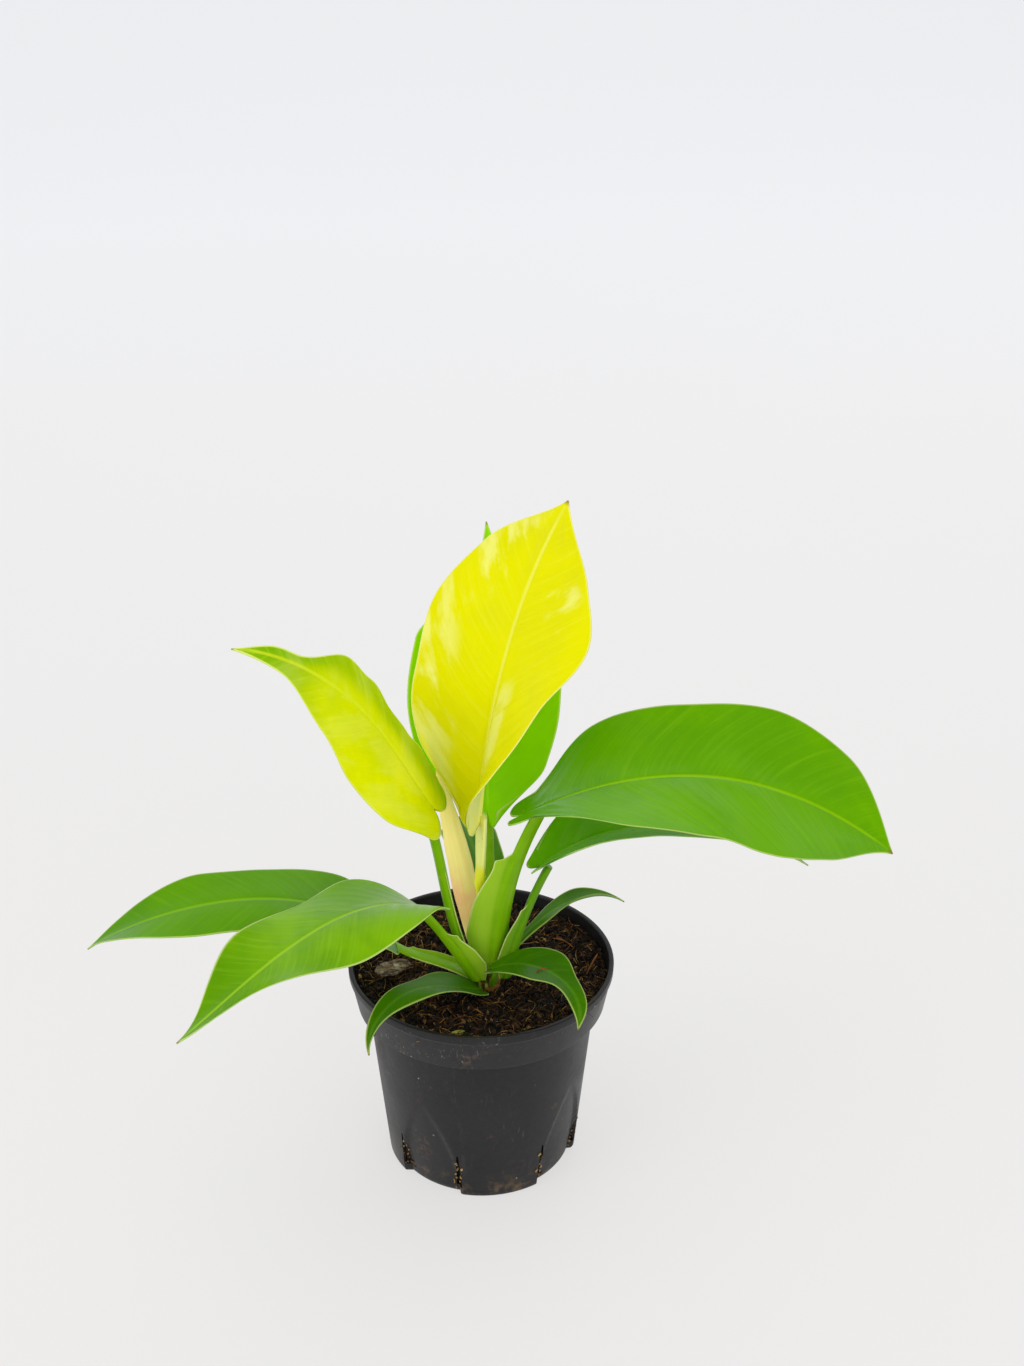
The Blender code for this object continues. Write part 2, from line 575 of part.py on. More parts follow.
def make_chip():
    """A piece of bark lying on the soil."""
    centre = np.array([-40.0, -2.0, DATUM_SOIL + 3.2])
    turn = math.radians(20)
    along = np.array([math.cos(turn), math.sin(turn), 0.08])
    across = np.array([-math.sin(turn), math.cos(turn), 0.05])
    up = np.array([0.0, 0.0, 1.0])
    rings = []
    for k, wide, high in ((-8.2, 1.6, 0.6), (-6.0, 3.4, 1.2), (-0.5, 4.1, 1.5), (5.5, 3.0, 1.3),
                          (8.2, 1.4, 0.7)):
        ring = []
        for j in range(10):
            a = 2 * math.pi * j / 10
            ring.append(centre + along * k + across * wide * math.cos(a) * (1 + 0.15 * (j % 2))
                        + up * high * math.sin(a))
        rings.append(place(ring))
    return tube("bark_chip", rings, (0.20, 0.10, 0.04), 0.9)


make_pot()
make_soil()
stem_shape("stem")
make_cataphyll()
make_chip()
for leaf_name, leaf in LEAVES.items():
    if leaf_name in RIM_LEAVES:
        leaf = low_leaf(leaf)
    make_stalk(leaf_name + "_stalk", leaf, tuple(c * 0.85 for c in COLOURS[leaf_name]))
    make_blade(leaf_name + "_blade", leaf, COLOURS[leaf_name])
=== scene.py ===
"""Potted philodendron: leaves, stalks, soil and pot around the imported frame."""
import math

import bpy
import bmesh
import numpy as np
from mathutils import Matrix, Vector, noise


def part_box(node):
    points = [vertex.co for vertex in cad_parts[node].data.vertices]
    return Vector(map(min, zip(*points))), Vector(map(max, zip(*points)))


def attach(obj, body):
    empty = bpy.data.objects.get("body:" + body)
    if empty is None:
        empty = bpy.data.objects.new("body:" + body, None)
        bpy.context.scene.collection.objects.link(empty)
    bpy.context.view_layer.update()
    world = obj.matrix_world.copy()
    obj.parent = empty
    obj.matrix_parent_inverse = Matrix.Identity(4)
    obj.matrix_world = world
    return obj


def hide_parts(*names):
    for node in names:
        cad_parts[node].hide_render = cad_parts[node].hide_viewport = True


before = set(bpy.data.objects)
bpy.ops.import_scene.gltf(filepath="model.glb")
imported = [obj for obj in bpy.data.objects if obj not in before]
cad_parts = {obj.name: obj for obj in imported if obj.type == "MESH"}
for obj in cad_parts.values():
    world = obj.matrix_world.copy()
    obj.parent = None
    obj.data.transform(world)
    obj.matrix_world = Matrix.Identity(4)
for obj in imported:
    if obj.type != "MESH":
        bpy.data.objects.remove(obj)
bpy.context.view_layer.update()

# ------------------------------------------------------------------ sizes, metres
POT_LOW, POT_HIGH = (np.array(corner, float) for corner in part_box("pot"))
RIM_RADIUS = float(POT_HIGH[0] - POT_LOW[0]) / 2
POT_HEIGHT = float(POT_HIGH[2])
COLLAR_HEIGHT = 0.0200       # the wider band under the rim
COLLAR_TAPER = 0.937         # collar's lower radius over the rim radius
BODY_TAPER = 0.860           # wall's top radius over the rim radius
BASE_TAPER = 0.723           # wall's bottom radius over the rim radius
LIP_HEIGHT = 0.0045
LIP_PROUD = 0.0007
WALL = 0.0012
FLOOR_THICK = 0.0016
PANEL_TURN = -79.0           # azimuth of the front standing panel
PANEL_HALF = 24.0            # half the width of a standing panel, degrees
RECESS_DEPTH = 0.0028
RECESS_TOP = 0.052
RECESS_EASE = 2.0            # width of the step beside a panel, degrees
SLIT_TOP = 0.024
SLIT_WIDTH = 0.0034
SLIT_POINT = 0.0004          # half the width of a slit at its top
SLIT_FOOT = 0.0045
LUG_TURN = 193.0             # a small moulding lug under the collar
LUG_HALF = 2.5
LUG_PROUD = 0.0012
LUG_DROP = 0.0118
GAP = 0.0003                 # clearance between touching pieces
SOIL_TOP = POT_HEIGHT - 0.0065
DATUM_SOIL = 94.5            # soil height, mm, for which leaf heights are given
STEM_RADIUS = 0.0054
STEM_HEIGHT = 0.0170         # above the soil
STEM_DEPTH = 0.0120          # buried
STEM_X, STEM_Y = 0.0030, -0.0120
AXIS = np.array([STEM_X, STEM_Y, 0.0])
TURN_STEPS = 240             # steps round the pot and its soil

# leaves and stalks, in mm
VEIN_STEP = 7.5              # distance between side veins
ROW_STEP = 1.15              # distance between rows of points along a blade
STALK_STEPS = 64
STALK_ARCS = 41
SHEATH_PLACE = (0.0, 0.15, 0.3, 0.6, 0.86, 0.93, 1.0, 1.03, 1.10)
SHEATH_SHARE = (0.35, 0.72, 1.0, 0.90, 0.56, 0.52, 0.56, 0.30, 0.0)

CAMERA_PLACE = (0.0, -0.8005, 0.6528)
CAMERA_LENS = 56.21
CAMERA_DIP, CAMERA_TURN = 27.23, 1.0   # below level and to the right, degrees


# ------------------------------------------------------------------ shader wiring
def ink(colour):
    """A colour from display values 0 to 255; a wire or a finished colour stays as it is."""
    if isinstance(colour, Wire) or len(colour) == 4:
        return colour
    shares = [value / 255.0 for value in colour]
    return tuple(c / 12.92 if c <= 0.04045 else ((c + 0.055) / 1.055) ** 2.4
                 for c in shares) + (1.0,)


class Wire:
    """A shader value that takes part in ordinary sums."""

    def __init__(self, finish, socket):
        self.finish, self.socket = finish, socket

    def _with(self, operation, first, second):
        return self.finish.add("ShaderNodeMath", {"operation": operation}, {0: first, 1: second})

    def __add__(self, other):
        return self._with("ADD", self, other)

    __radd__ = __add__

    def __sub__(self, other):
        return self._with("SUBTRACT", self, other)

    def __rsub__(self, other):
        return self._with("SUBTRACT", other, self)

    def __mul__(self, other):
        return self._with("MULTIPLY", self, other)

    __rmul__ = __mul__

    def __truediv__(self, other):
        return self._with("DIVIDE", self, other)

    def __abs__(self):
        return self._with("ABSOLUTE", self, 0.0)


class Finish:
    """One material, and the nodes that make it."""

    def __init__(self, name, **sockets):
        self.material = bpy.data.materials.new(name)
        self.material.use_nodes = True
        self.tree = self.material.node_tree
        self.shader = self.tree.nodes["Principled BSDF"]
        for label, value in sockets.items():
            self.set(label.replace("_", " "), value)

    def add(self, kind, settings=None, sockets=None, out=0):
        """Any node: its settings first, then the values or wires of its sockets."""
        node = self.tree.nodes.new(kind)
        for key, value in (settings or {}).items():
            setattr(node, key, value)
        for key, value in (sockets or {}).items():
            self.plug(node.inputs[key], value)
        return Wire(self, node.outputs[out])

    def plug(self, socket, value):
        if isinstance(value, Wire):
            self.tree.links.new(value.socket, socket)
        else:
            socket.default_value = value

    def set(self, label, value):
        self.plug(self.shader.inputs[label], value)

    def attribute(self, name):
        """The three parts of a vector kept at the piece's points."""
        return self.split(self.add("ShaderNodeAttribute", {"attribute_name": name}, out="Vector"))

    def split(self, wire):
        first = self.add("ShaderNodeSeparateXYZ", None, {0: wire})
        return [Wire(self, s) for s in first.socket.node.outputs]

    def join(self, x, y, z):
        return self.add("ShaderNodeCombineXYZ", None, {0: x, 1: y, 2: z})

    def spot(self):
        return self.add("ShaderNodeTexCoord", out="Object")

    def noise(self, vector, scale, detail=3.0, rough=0.5):
        return self.add("ShaderNodeTexNoise", None, {
            "Vector": vector, "Scale": scale, "Detail": detail, "Roughness": rough}, "Fac")

    def dots(self, vector, scale):
        """Distance to the nearest of many scattered spots."""
        return self.add("ShaderNodeTexVoronoi", None, {
            "Vector": vector, "Scale": scale}, "Distance")

    def smooth(self, value, low, high, bottom=0.0, top=1.0):
        """Soft step from bottom at low to top at high."""
        return self.add("ShaderNodeMapRange", {"interpolation_type": "SMOOTHSTEP"}, {
            "Value": value, "From Min": low, "From Max": high, "To Min": bottom, "To Max": top})

    def fade(self, value, low, high):
        """Soft step down from 1 at low to 0 at high."""
        return self.smooth(value, low, high, 1.0, 0.0)

    def blend(self, share, below, above):
        return self.add("ShaderNodeMix", {"data_type": "RGBA"}, {
            0: share, 6: ink(below), 7: ink(above)}, 2)

    def stretch(self, vector, scale):
        return self.add("ShaderNodeVectorMath", {"operation": "MULTIPLY"}, {0: vector, 1: scale})

    def bump(self, height, strength, distance):
        self.set("Normal", self.add("ShaderNodeBump", None, {
            "Height": height, "Strength": strength, "Distance": distance}))

    def done(self, colour, roughness, coat=None):
        self.set("Base Color", colour)
        self.set("Roughness", roughness)
        if coat:
            self.set("Coat Weight", coat)
        return self.material


# ------------------------------------------------------------------ mesh helpers
def new_mesh(name, points, faces):
    mesh = bpy.data.meshes.new(name)
    mesh.from_pydata([tuple(map(float, p)) for p in points], [], faces)
    return mesh


def new_object(name, data):
    made = bpy.data.objects.new(name, data)
    bpy.context.scene.collection.objects.link(made)
    return made


def keep(piece, replaced=()):
    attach(piece, "root")
    if replaced:
        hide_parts(*replaced)
    return piece


def new_piece(name, points, faces, slot, finish, replaced=(), attributes=None, turn_out=True):
    """A smooth visible piece, with the vectors its finish needs at its points."""
    mesh = new_mesh(name, points, faces)
    mesh.validate()
    for label, values in (attributes or {}).items():
        layer = mesh.attributes.new(label, "FLOAT_VECTOR", "POINT")
        layer.data.foreach_set("vector", np.asarray(values, np.float32).ravel())
    mesh.polygons.foreach_set("use_smooth", [True] * len(mesh.polygons))
    mesh.update()
    if turn_out:
        face_out(mesh)
    mesh.materials.append(finish)
    return keep(new_object(name, mesh), replaced)


def face_out(mesh):
    """Merge doubled points and turn every face outwards."""
    bm = bmesh.new()
    bm.from_mesh(mesh)
    bmesh.ops.remove_doubles(bm, verts=bm.verts, dist=1e-7)
    bmesh.ops.recalc_face_normals(bm, faces=bm.faces)
    bm.to_mesh(mesh)
    bm.free()


def finished_mesh(piece):
    """The mesh that a piece's modifiers make of it."""
    graph = bpy.context.evaluated_depsgraph_get()
    return bpy.data.meshes.new_from_object(piece.evaluated_get(graph))


def shell(top, under):
    """Points and faces of a closed sheet between two grids of points."""
    rows, cols = top.shape[0] - 1, top.shape[1] - 1
    flat = np.concatenate([top.reshape(-1, 3), under.reshape(-1, 3)])
    lower = (rows + 1) * (cols + 1)

    def at(i, j):
        return i * (cols + 1) + j

    faces = []
    for i in range(rows):
        for j in range(cols):
            quad = (at(i, j), at(i, j + 1), at(i + 1, j + 1), at(i + 1, j))
            faces.append(quad[::-1])
            faces.append(tuple(lower + q for q in quad))
    rim = ([at(0, j) for j in range(cols)] + [at(i, cols) for i in range(rows)]
           + [at(rows, j) for j in range(cols, 0, -1)] + [at(i, 0) for i in range(rows, 0, -1)])
    for a, b in zip(rim, rim[1:] + rim[:1]):
        faces.append((a, b, lower + b, lower + a))
    return flat, faces


def around(rows, steps):
    """Faces between rows of points that each run once round."""
    return [(i * steps + j, i * steps + k, (i + 1) * steps + k, (i + 1) * steps + j)
            for i in range(rows - 1) for j, k in zip(range(steps), [*range(1, steps), 0])]


def tube(rings, strip=False):
    """Points and faces of a closed body through rings of points; a thin section, one side
    followed by the other in reverse, is capped by a strip."""
    count = len(rings[0])
    points = [p for ring in rings for p in ring]
    faces = around(len(rings), count)
    top = (len(rings) - 1) * count
    if strip:
        for j in range(count // 2 - 1):
            far = count - 1 - j
            faces.append((j, far, far - 1, j + 1))
            faces.append((top + j, top + j + 1, top + far - 1, top + far))
        return points, faces
    first, last = len(points), len(points) + 1
    points += [np.mean(rings[0], axis=0), np.mean(rings[-1], axis=0)]
    for j in range(count):
        k = (j + 1) % count
        faces.append((first, k, j))
        faces.append((last, top + j, top + k))
    return points, faces


def rough(x, y, z, size):
    """Smooth noise from -1 to 1; size is the width of a lump."""
    return noise.noise(Vector((x / size, y / size, z / size)))


# ------------------------------------------------------------------ leaf shape
def three(values, u):
    """Smooth run through a value at the base, the middle and the tip."""
    a, b, c = values
    return a * (1 - u) * (1 - 2 * u) + 4 * b * u * (1 - u) + c * u * (2 * u - 1)


def frames(leaf, u):
    """Direction, left side and upper side of the midrib at u."""
    h = np.radians(three(leaf["heading"], u))
    p = np.radians(three(leaf["pitch"], u))
    r = np.radians(three(leaf["roll"], u))
    ahead = np.stack([np.cos(p) * np.cos(h), np.cos(p) * np.sin(h), np.sin(p)], -1)
    level = np.stack([-np.sin(h), np.cos(h), 0 * h], -1)
    above = np.cross(ahead, level)
    left = np.cos(r)[..., None] * level + np.sin(r)[..., None] * above
    up = np.cos(r)[..., None] * above - np.sin(r)[..., None] * level
    return ahead, left, up


def half_width(leaf, u):
    """Half width from the five stations and a closed tip, as a smooth curve."""
    xs = np.array([0, .2, .4, .6, .8, 1.0])
    ys = np.array(list(leaf["widths"]) + [0.25])
    step = np.diff(ys) / np.diff(xs)
    slope = np.zeros(6)
    for i in range(1, 5):
        if step[i - 1] * step[i] > 0:
            slope[i] = 2 * step[i - 1] * step[i] / (step[i - 1] + step[i])
    slope[0], slope[5] = step[0] * 1.2, step[4] * 0.8
    i = np.clip(np.searchsorted(xs, u, side="right") - 1, 0, 4)
    w = xs[i + 1] - xs[i]
    t = (u - xs[i]) / w
    return ((1 + 2 * t) * (1 - t) ** 2 * ys[i] + t * (1 - t) ** 2 * w * slope[i]
            + t * t * (3 - 2 * t) * ys[i + 1] + t * t * (t - 1) * w * slope[i + 1])


def right_part(leaf, u):
    """Width of the right half as a share of the left, easing between even stations."""
    shares = np.array(leaf["right_share"])
    at = np.clip(u, 0, 1) * (len(shares) - 1)
    i = np.clip(at.astype(int), 0, len(shares) - 2)
    f = at - i
    return shares[i] + (shares[i + 1] - shares[i]) * f * f * (3 - 2 * f)


def leaf_surface(leaf, u, v):
    """Points in mm, upward normals, distance from the midrib and half width, at u along
    and v across."""
    length, lobe = leaf["length"], leaf["lobe"]
    side = np.abs(v)
    along = u - lobe / length * np.sin(np.pi * side) * (1 - u) ** 4
    grid = np.linspace(0, 1, 61)
    ahead = frames(leaf, (grid[:-1] + grid[1:]) / 2)[0]
    rib = np.vstack([[0, 0, 0], np.cumsum(ahead * length / 60, 0)]) + np.array(leaf["base"])
    inside = np.clip(along, 0, 1)
    centre = np.stack([np.interp(inside, grid, rib[:, i]) for i in range(3)], -1)
    ahead, left, up = frames(leaf, inside)
    centre = centre + np.where(along < 0, along * length, 0)[..., None] * ahead
    width = np.maximum(half_width(leaf, u) * np.where(v >= 0, 1, right_part(leaf, u)), 1e-6)
    round_base = (1 - u) ** 6
    x = width * (side * (1 - round_base) + round_base * (1 - np.cos(np.pi * side)) / 2)
    is_left = v >= 0

    def pick(pair):
        return np.where(is_left, pair[0], pair[1])

    fold = np.radians(pick((leaf["fold_left"][0], leaf["fold_right"][0])) * (1 - inside)
                      + pick((leaf["fold_left"][1], leaf["fold_right"][1])) * inside)
    curl = np.radians(pick(leaf["curl"])) + 1e-5
    t = x / width
    across = width * (np.sin(fold + curl * t) - np.sin(fold)) / curl
    lift = width * (np.cos(fold) - np.cos(fold + curl * t)) / curl
    size, cycles, phase = [pick((leaf["wave_left"][i], leaf["wave_right"][i])) for i in range(3)]
    lift = lift + size * t ** 2 * np.sin(2 * np.pi * (cycles * u + phase)) * np.sin(np.pi * u)
    across = np.where(is_left, across, -across)
    tilt = fold + curl * t
    normal = (np.cos(tilt)[..., None] * up
              - (np.where(is_left, 1, -1) * np.sin(tilt))[..., None] * left)
    return centre + across[..., None] * left + lift[..., None] * up, normal, x, width


def place(points_mm):
    """Metres in the pot's frame from millimetres over the datum soil."""
    points = np.array(points_mm, float) / 1000.0
    points[..., 2] += SOIL_TOP - DATUM_SOIL / 1000.0
    return points


def make_blade(name, leaf, finish, slot, seed):
    """A blade of even thickness with a grooved midrib, a raised rib below and soft relief."""
    wide = max(leaf["widths"])
    rows = int(leaf["length"] / ROW_STEP)
    cols = 2 * int(wide / 1.25 + 8)
    u = np.linspace(0, 1, rows + 1) ** 0.92
    t = np.linspace(1, -1, cols + 1)
    v = np.sign(t) * (0.25 * np.abs(t) + 0.75 * np.abs(t) ** 1.35)
    u, v = np.meshgrid(u, v, indexing="ij")
    points, normal, x, width = leaf_surface(leaf, u, v)
    path = leaf["length"] * u - 0.72 * x - 0.22 * x * x / np.maximum(width, 1.0) + seed * 1.7
    clear = np.clip((x - 0.8) / 4, 0, 1) * np.clip((1 - np.abs(v)) / 0.15, 0, 1)
    clear *= np.clip((1 - u) / 0.15, 0, 1)
    quilt = 0.0018 * wide * np.cos(2 * np.pi * path / VEIN_STEP) * clear
    slow = np.array([[rough(a, b, seed * 9.1, 0.21) for a, b in zip(ua, va)]
                     for ua, va in zip(u * leaf["length"] / 100, v * wide / 100)])
    lump = slow * 0.030 * wide * np.clip(x / 6, 0, 1)
    rib = np.exp(-(x / (1.25 - 0.7 * u)) ** 2) * np.clip((1 - u) * 8, 0, 1)
    share = wide / 35.0
    middle = points + normal * (quilt + lump)[..., None]
    half = 0.20 + 0.10 * np.clip((1 - np.abs(v)) / 0.1, 0, 1)
    top = middle + normal * (half - 0.38 * rib * share)[..., None]
    under = middle - normal * (half + (1.05 - 0.7 * u) * rib * share)[..., None]
    flat, faces = shell(place(top), place(under))
    edge = np.minimum((1 - np.abs(v)) * width, np.where(x > 2.5, u * leaf["length"], 9.0))
    vein = np.stack([path, x, edge], -1).reshape(-1, 3)
    over, below = (np.stack([u, v, np.full_like(u, side)], -1).reshape(-1, 3) for side in (0, 1))
    new_piece(name, flat, faces, slot, finish, [name], {
        "vein": np.concatenate([vein, vein]), "blade": np.concatenate([over, below])},
        turn_out=False)


# ------------------------------------------------------------------ stalk shape
def stalk_path(leaf, t):
    """Centre line of a stalk from the stem to its blade, and the frame along it."""
    stalk = leaf["stalk"]
    azimuth = math.radians(stalk["azimuth"])
    out = np.array([math.cos(azimuth), math.sin(azimuth), 0.0])
    foot = AXIS * 1000 + out * stalk["foot_radius"] + np.array([0, 0, DATUM_SOIL + stalk["rise"]])
    ahead, left, up = frames(leaf, np.array([0.0]))
    lean = math.radians(stalk["lean"])
    start = out * math.sin(lean) + np.array([0, 0, math.cos(lean)])
    chord = np.array(leaf["base"]) - foot
    reach = np.linalg.norm(chord)
    finish = chord / reach * (1 - stalk["follow"]) + ahead[0] * stalk["follow"]
    finish /= np.linalg.norm(finish)
    side_foot = np.array([-out[1], out[0], 0.0])
    broad = (1 - stalk["twist"]) * side_foot + stalk["twist"] * left[0]
    broad -= (broad @ finish) * finish
    broad /= np.linalg.norm(broad)
    drop = (stalk["thick"] / 2 * abs(float(np.cross(finish, broad) @ up[0]))
            + stalk["wide"] / 2 * abs(float(broad @ up[0])) + 0.3)
    top = np.array(leaf["base"]) - up[0] * drop
    a, b = foot + start * reach * 0.4, top - finish * reach * 0.35
    t = np.asarray(t, float)[..., None]
    path = ((1 - t) ** 3 * foot + 3 * t * (1 - t) ** 2 * a + 3 * t * t * (1 - t) * b + t ** 3 * top)
    tangent = (3 * (1 - t) ** 2 * (a - foot) + 6 * t * (1 - t) * (b - a) + 3 * t * t * (top - b))
    tangent /= np.linalg.norm(tangent, axis=-1, keepdims=True)
    turned = t * stalk["twist"]
    side = (1 - turned) * side_foot + turned * left[0]
    side -= (side * tangent).sum(-1, keepdims=True) * tangent
    side /= np.linalg.norm(side, axis=-1, keepdims=True)
    return path, side, np.cross(tangent, side)


def stalk_ring(leaf, t, path, side, inner):
    """Section of the stalk: a round back and thin sheath wings that end in ears."""
    stalk = leaf["stalk"]
    k = min(max((t - stalk["sheath"] * 0.8) / (1 - stalk["sheath"] * 0.8), 0.0), 1.0)
    flare = min(max((t - 0.5) / 0.4, 0.0), 1.0)
    wide = stalk["wide"] * (1 + (stalk["flare"] - 1) * flare * flare * (3 - 2 * flare))
    sheath = np.interp(t / stalk["sheath"], SHEATH_PLACE, SHEATH_SHARE)
    curve = stalk["wrap"] + (14.0 - stalk["wrap"]) * k
    outer_side, inner_side, marks = [], [], []
    for s in np.linspace(-1, 1, STALK_ARCS):
        wing = stalk["wing_left"] if s >= 0 else stalk["wing_right"]
        reach = wide / 2 + wing * sheath
        angle = reach * s / curve
        middle = abs(reach * s) / (wide / 2)
        body = math.sqrt(max(0.0, 1 - min(middle, 1.0) ** 2))
        thick = max(0.40 - 0.1 * k, stalk["thick"] * body)
        for sign, line in ((-0.5, outer_side), (0.5, inner_side)):
            r = curve - sign * thick
            line.append(path + side * r * math.sin(angle) + inner * (curve - r * math.cos(angle)))
        marks.append((t, s, max(0.0, middle - 1.0) * stalk["wide"] / 2))
    return outer_side + inner_side[::-1], marks + marks[::-1]


def make_stalk(name, leaf, finish, slot):
    """A stalk with its sheath, from the stem to its blade."""
    rings, marks = [], []
    steps = np.linspace(0, 1, STALK_STEPS)
    for t, *frame_at in zip(steps, *stalk_path(leaf, steps)):
        ring, mark = stalk_ring(leaf, t, *frame_at)
        rings.append(place(ring))
        marks += mark
    new_piece(name, *tube(rings, strip=True), slot, finish, [name], {"stalk": marks})


def stalk(azimuth, rise, foot_radius, lean=12, follow=0.3, wide=5.0, thick=2.6, sheath=0.6,
          wing_left=1.0, wing_right=1.0, wrap=7.0, flare=1.0, twist=1.0):
    return dict(azimuth=azimuth, rise=rise, foot_radius=foot_radius, lean=lean, follow=follow,
                wide=wide, thick=thick, sheath=sheath, wing_left=wing_left,
                wing_right=wing_right, wrap=wrap, flare=flare, twist=twist)


def blade(base, length, heading, pitch, roll, widths, fold_left, fold_right, curl, lobe,
          wave_left, wave_right, stalk, right_share=(1.0, 1.0)):
    return dict(base=base, length=length, heading=heading, pitch=pitch, roll=roll, widths=widths,
                fold_left=fold_left, fold_right=fold_right, curl=curl, lobe=lobe,
                wave_left=wave_left, wave_right=wave_right, stalk=stalk, right_share=right_share)


# youngest to oldest, in mm and degrees, for the datum soil height
LEAVES = {
    "leaf_01": blade((-0.5, -7, 180.5), 143, (61, 44, 31), (80, 69, 54), (-41, 1, -21),
                     (10.5, 32, 34, 42, 29), (27, 8), (47, -29), (13, 0), 8,
                     (-6.5, 1.6, -0.8), (1, 1, 0),
                     stalk(190, 17.5, 4.0, lean=0, wide=5.2, thick=3.0, wing_left=0, wing_right=0,
                           flare=1.9)),
    "leaf_02": blade((-21.0, -6.5, 185.6), 122, (191, 191, 151), (59, 51, -13), (-12, -27, -3),
                     (20, 32, 33.6, 24.5, 6.6), (-2, -4), (17, 7), (-12, 5), 9,
                     (-3.5, 1.1, 0.1), (-2, 0.7, 0.1),
                     stalk(198, 12, 7.4, lean=24, wide=7.2, thick=4.4, wing_left=1.0, wing_right=1.0,
                           twist=0.3),
                     right_share=(0.65, 0.55, 0.44, 0.40, 0.50, 0.66, 0.44, 1.0, 0.6)),
    "leaf_03": blade((24.5, -10.5, 185.5), 177, (4, 14, -13), (25, -17, -37), (-19, 21, 12),
                     (18, 34, 35, 39, 28), (0, 24), (4, -1), (18, -2), 13,
                     (3, 1.2, 0), (-2.5, 1.1, -0.1),
                     stalk(310, 12, 7.0, lean=4, wide=9.4, thick=3.2, sheath=0.68,
                           wing_left=0.0, wing_right=11.8, wrap=12.0, twist=0.15)),
    "leaf_04": blade((3.5, 19, 167.5), 129, (91, 85, 101), (76, 70, 55), (-7, -4, 4),
                     (5, 31, 36, 33, 9), (13, 2), (22, 0), (9, 14), 8,
                     (0.5, 1, 0), (0, 1, 0),
                     stalk(75, 10, 6.8, lean=8, follow=0.9, wide=4.2)),
    "leaf_05": blade((-25.5, -25, 145), 130, (211, 219, 201), (33, -13, -35), (19, 5, 18),
                     (18, 28, 27, 21, 11.5), (8, -8), (2, 0), (-4, 15), 3,
                     (-7.5, 1.1, -0.1), (-8, 1.3, -0.2),
                     stalk(225, 8.5, 9.0, lean=30, wide=7.8, thick=3.0, sheath=0.6, wing_left=7.0,
                           wing_right=1.5, wrap=10)),
    "leaf_06": blade((28.5, -8, 157), 129, (18, 7, 11), (30, -9, -38), (-5, 0, -3),
                     (7.5, 24, 21, 16, 10), (12, 2), (17, 3), (15, 18), 8,
                     (0.5, 1, 0), (-1.5, 1, -0.2),
                     stalk(330, 9, 10.0, lean=12, wide=7.0, thick=3.6, sheath=0.6, wing_left=2.0,
                           wing_right=5.5, wrap=10, twist=0.4)),
    "leaf_07": blade((-39, -13, 120), 149, (183, 190, 159), (47, 1, -42), (0, -7, 5),
                     (12, 22, 20, 20, 12.5), (3, 0), (3, 4), (7, 11), 3,
                     (-2.5, 0.9, -0.2), (-3, 1, -0.2),
                     stalk(175, 4.5, 8.0, lean=55, follow=0.85, wide=5.8, thick=2.4, sheath=0.7,
                           wing_left=1.5, wing_right=3.0, wrap=9)),
    "leaf_08": blade((1.5, 17, 132), 57, (100, 102, 93), (16, 1, -14), (1, 3, 0),
                     (10, 12, 12.5, 13, 8), (0, 0), (0, 0), (10, 8), 8,
                     (0, 1, 0), (0, 1, 0),
                     stalk(98, 4, 7.4, lean=38, wide=4.0, thick=2.2)),
    "leaf_09": blade((14, 0, 105.3), 65, (30, 27, 21), (46, 11, -42), (-1, -10, -3),
                     (2, 3.5, 6.5, 7.5, 4), (0, 0), (5, 8), (10, 15), 2,
                     (-1.5, 1, 0), (-2, 1, 0.1),
                     stalk(50, 3, 7.2, lean=55, wide=3.0, thick=1.8, wing_left=0.4,
                           wing_right=0.4)),
    "leaf_10": blade((6.5, -29.3, 116.2), 62, (-25, -44, -110), (33, -6, -25), (2, -2, -5),
                     (5, 10.5, 12.5, 6.5, 4), (4, 0), (4, 5), (10, 12), 5,
                     (1, 1, 0), (-0.5, 1, 0),
                     stalk(-75, 5, 7.0, lean=40, wide=3.2, thick=1.8, wing_left=0.4,
                           wing_right=0.4)),
    "leaf_11": blade((-2.5, -22, 99.5), 75, (211, 221, 228), (25, 5, -99), (-3, 4, 3),
                     (6, 11.5, 8.5, 6.5, 3.2), (5, 4), (6, 2), (9, 9), 5,
                     (2, 1.2, 0.1), (-2, 1, -0.1),
                     stalk(240, 2.0, 7.0, lean=70, follow=0.5, wide=3.0, thick=1.6,
                           wing_left=0.2, wing_right=0.2)),
}


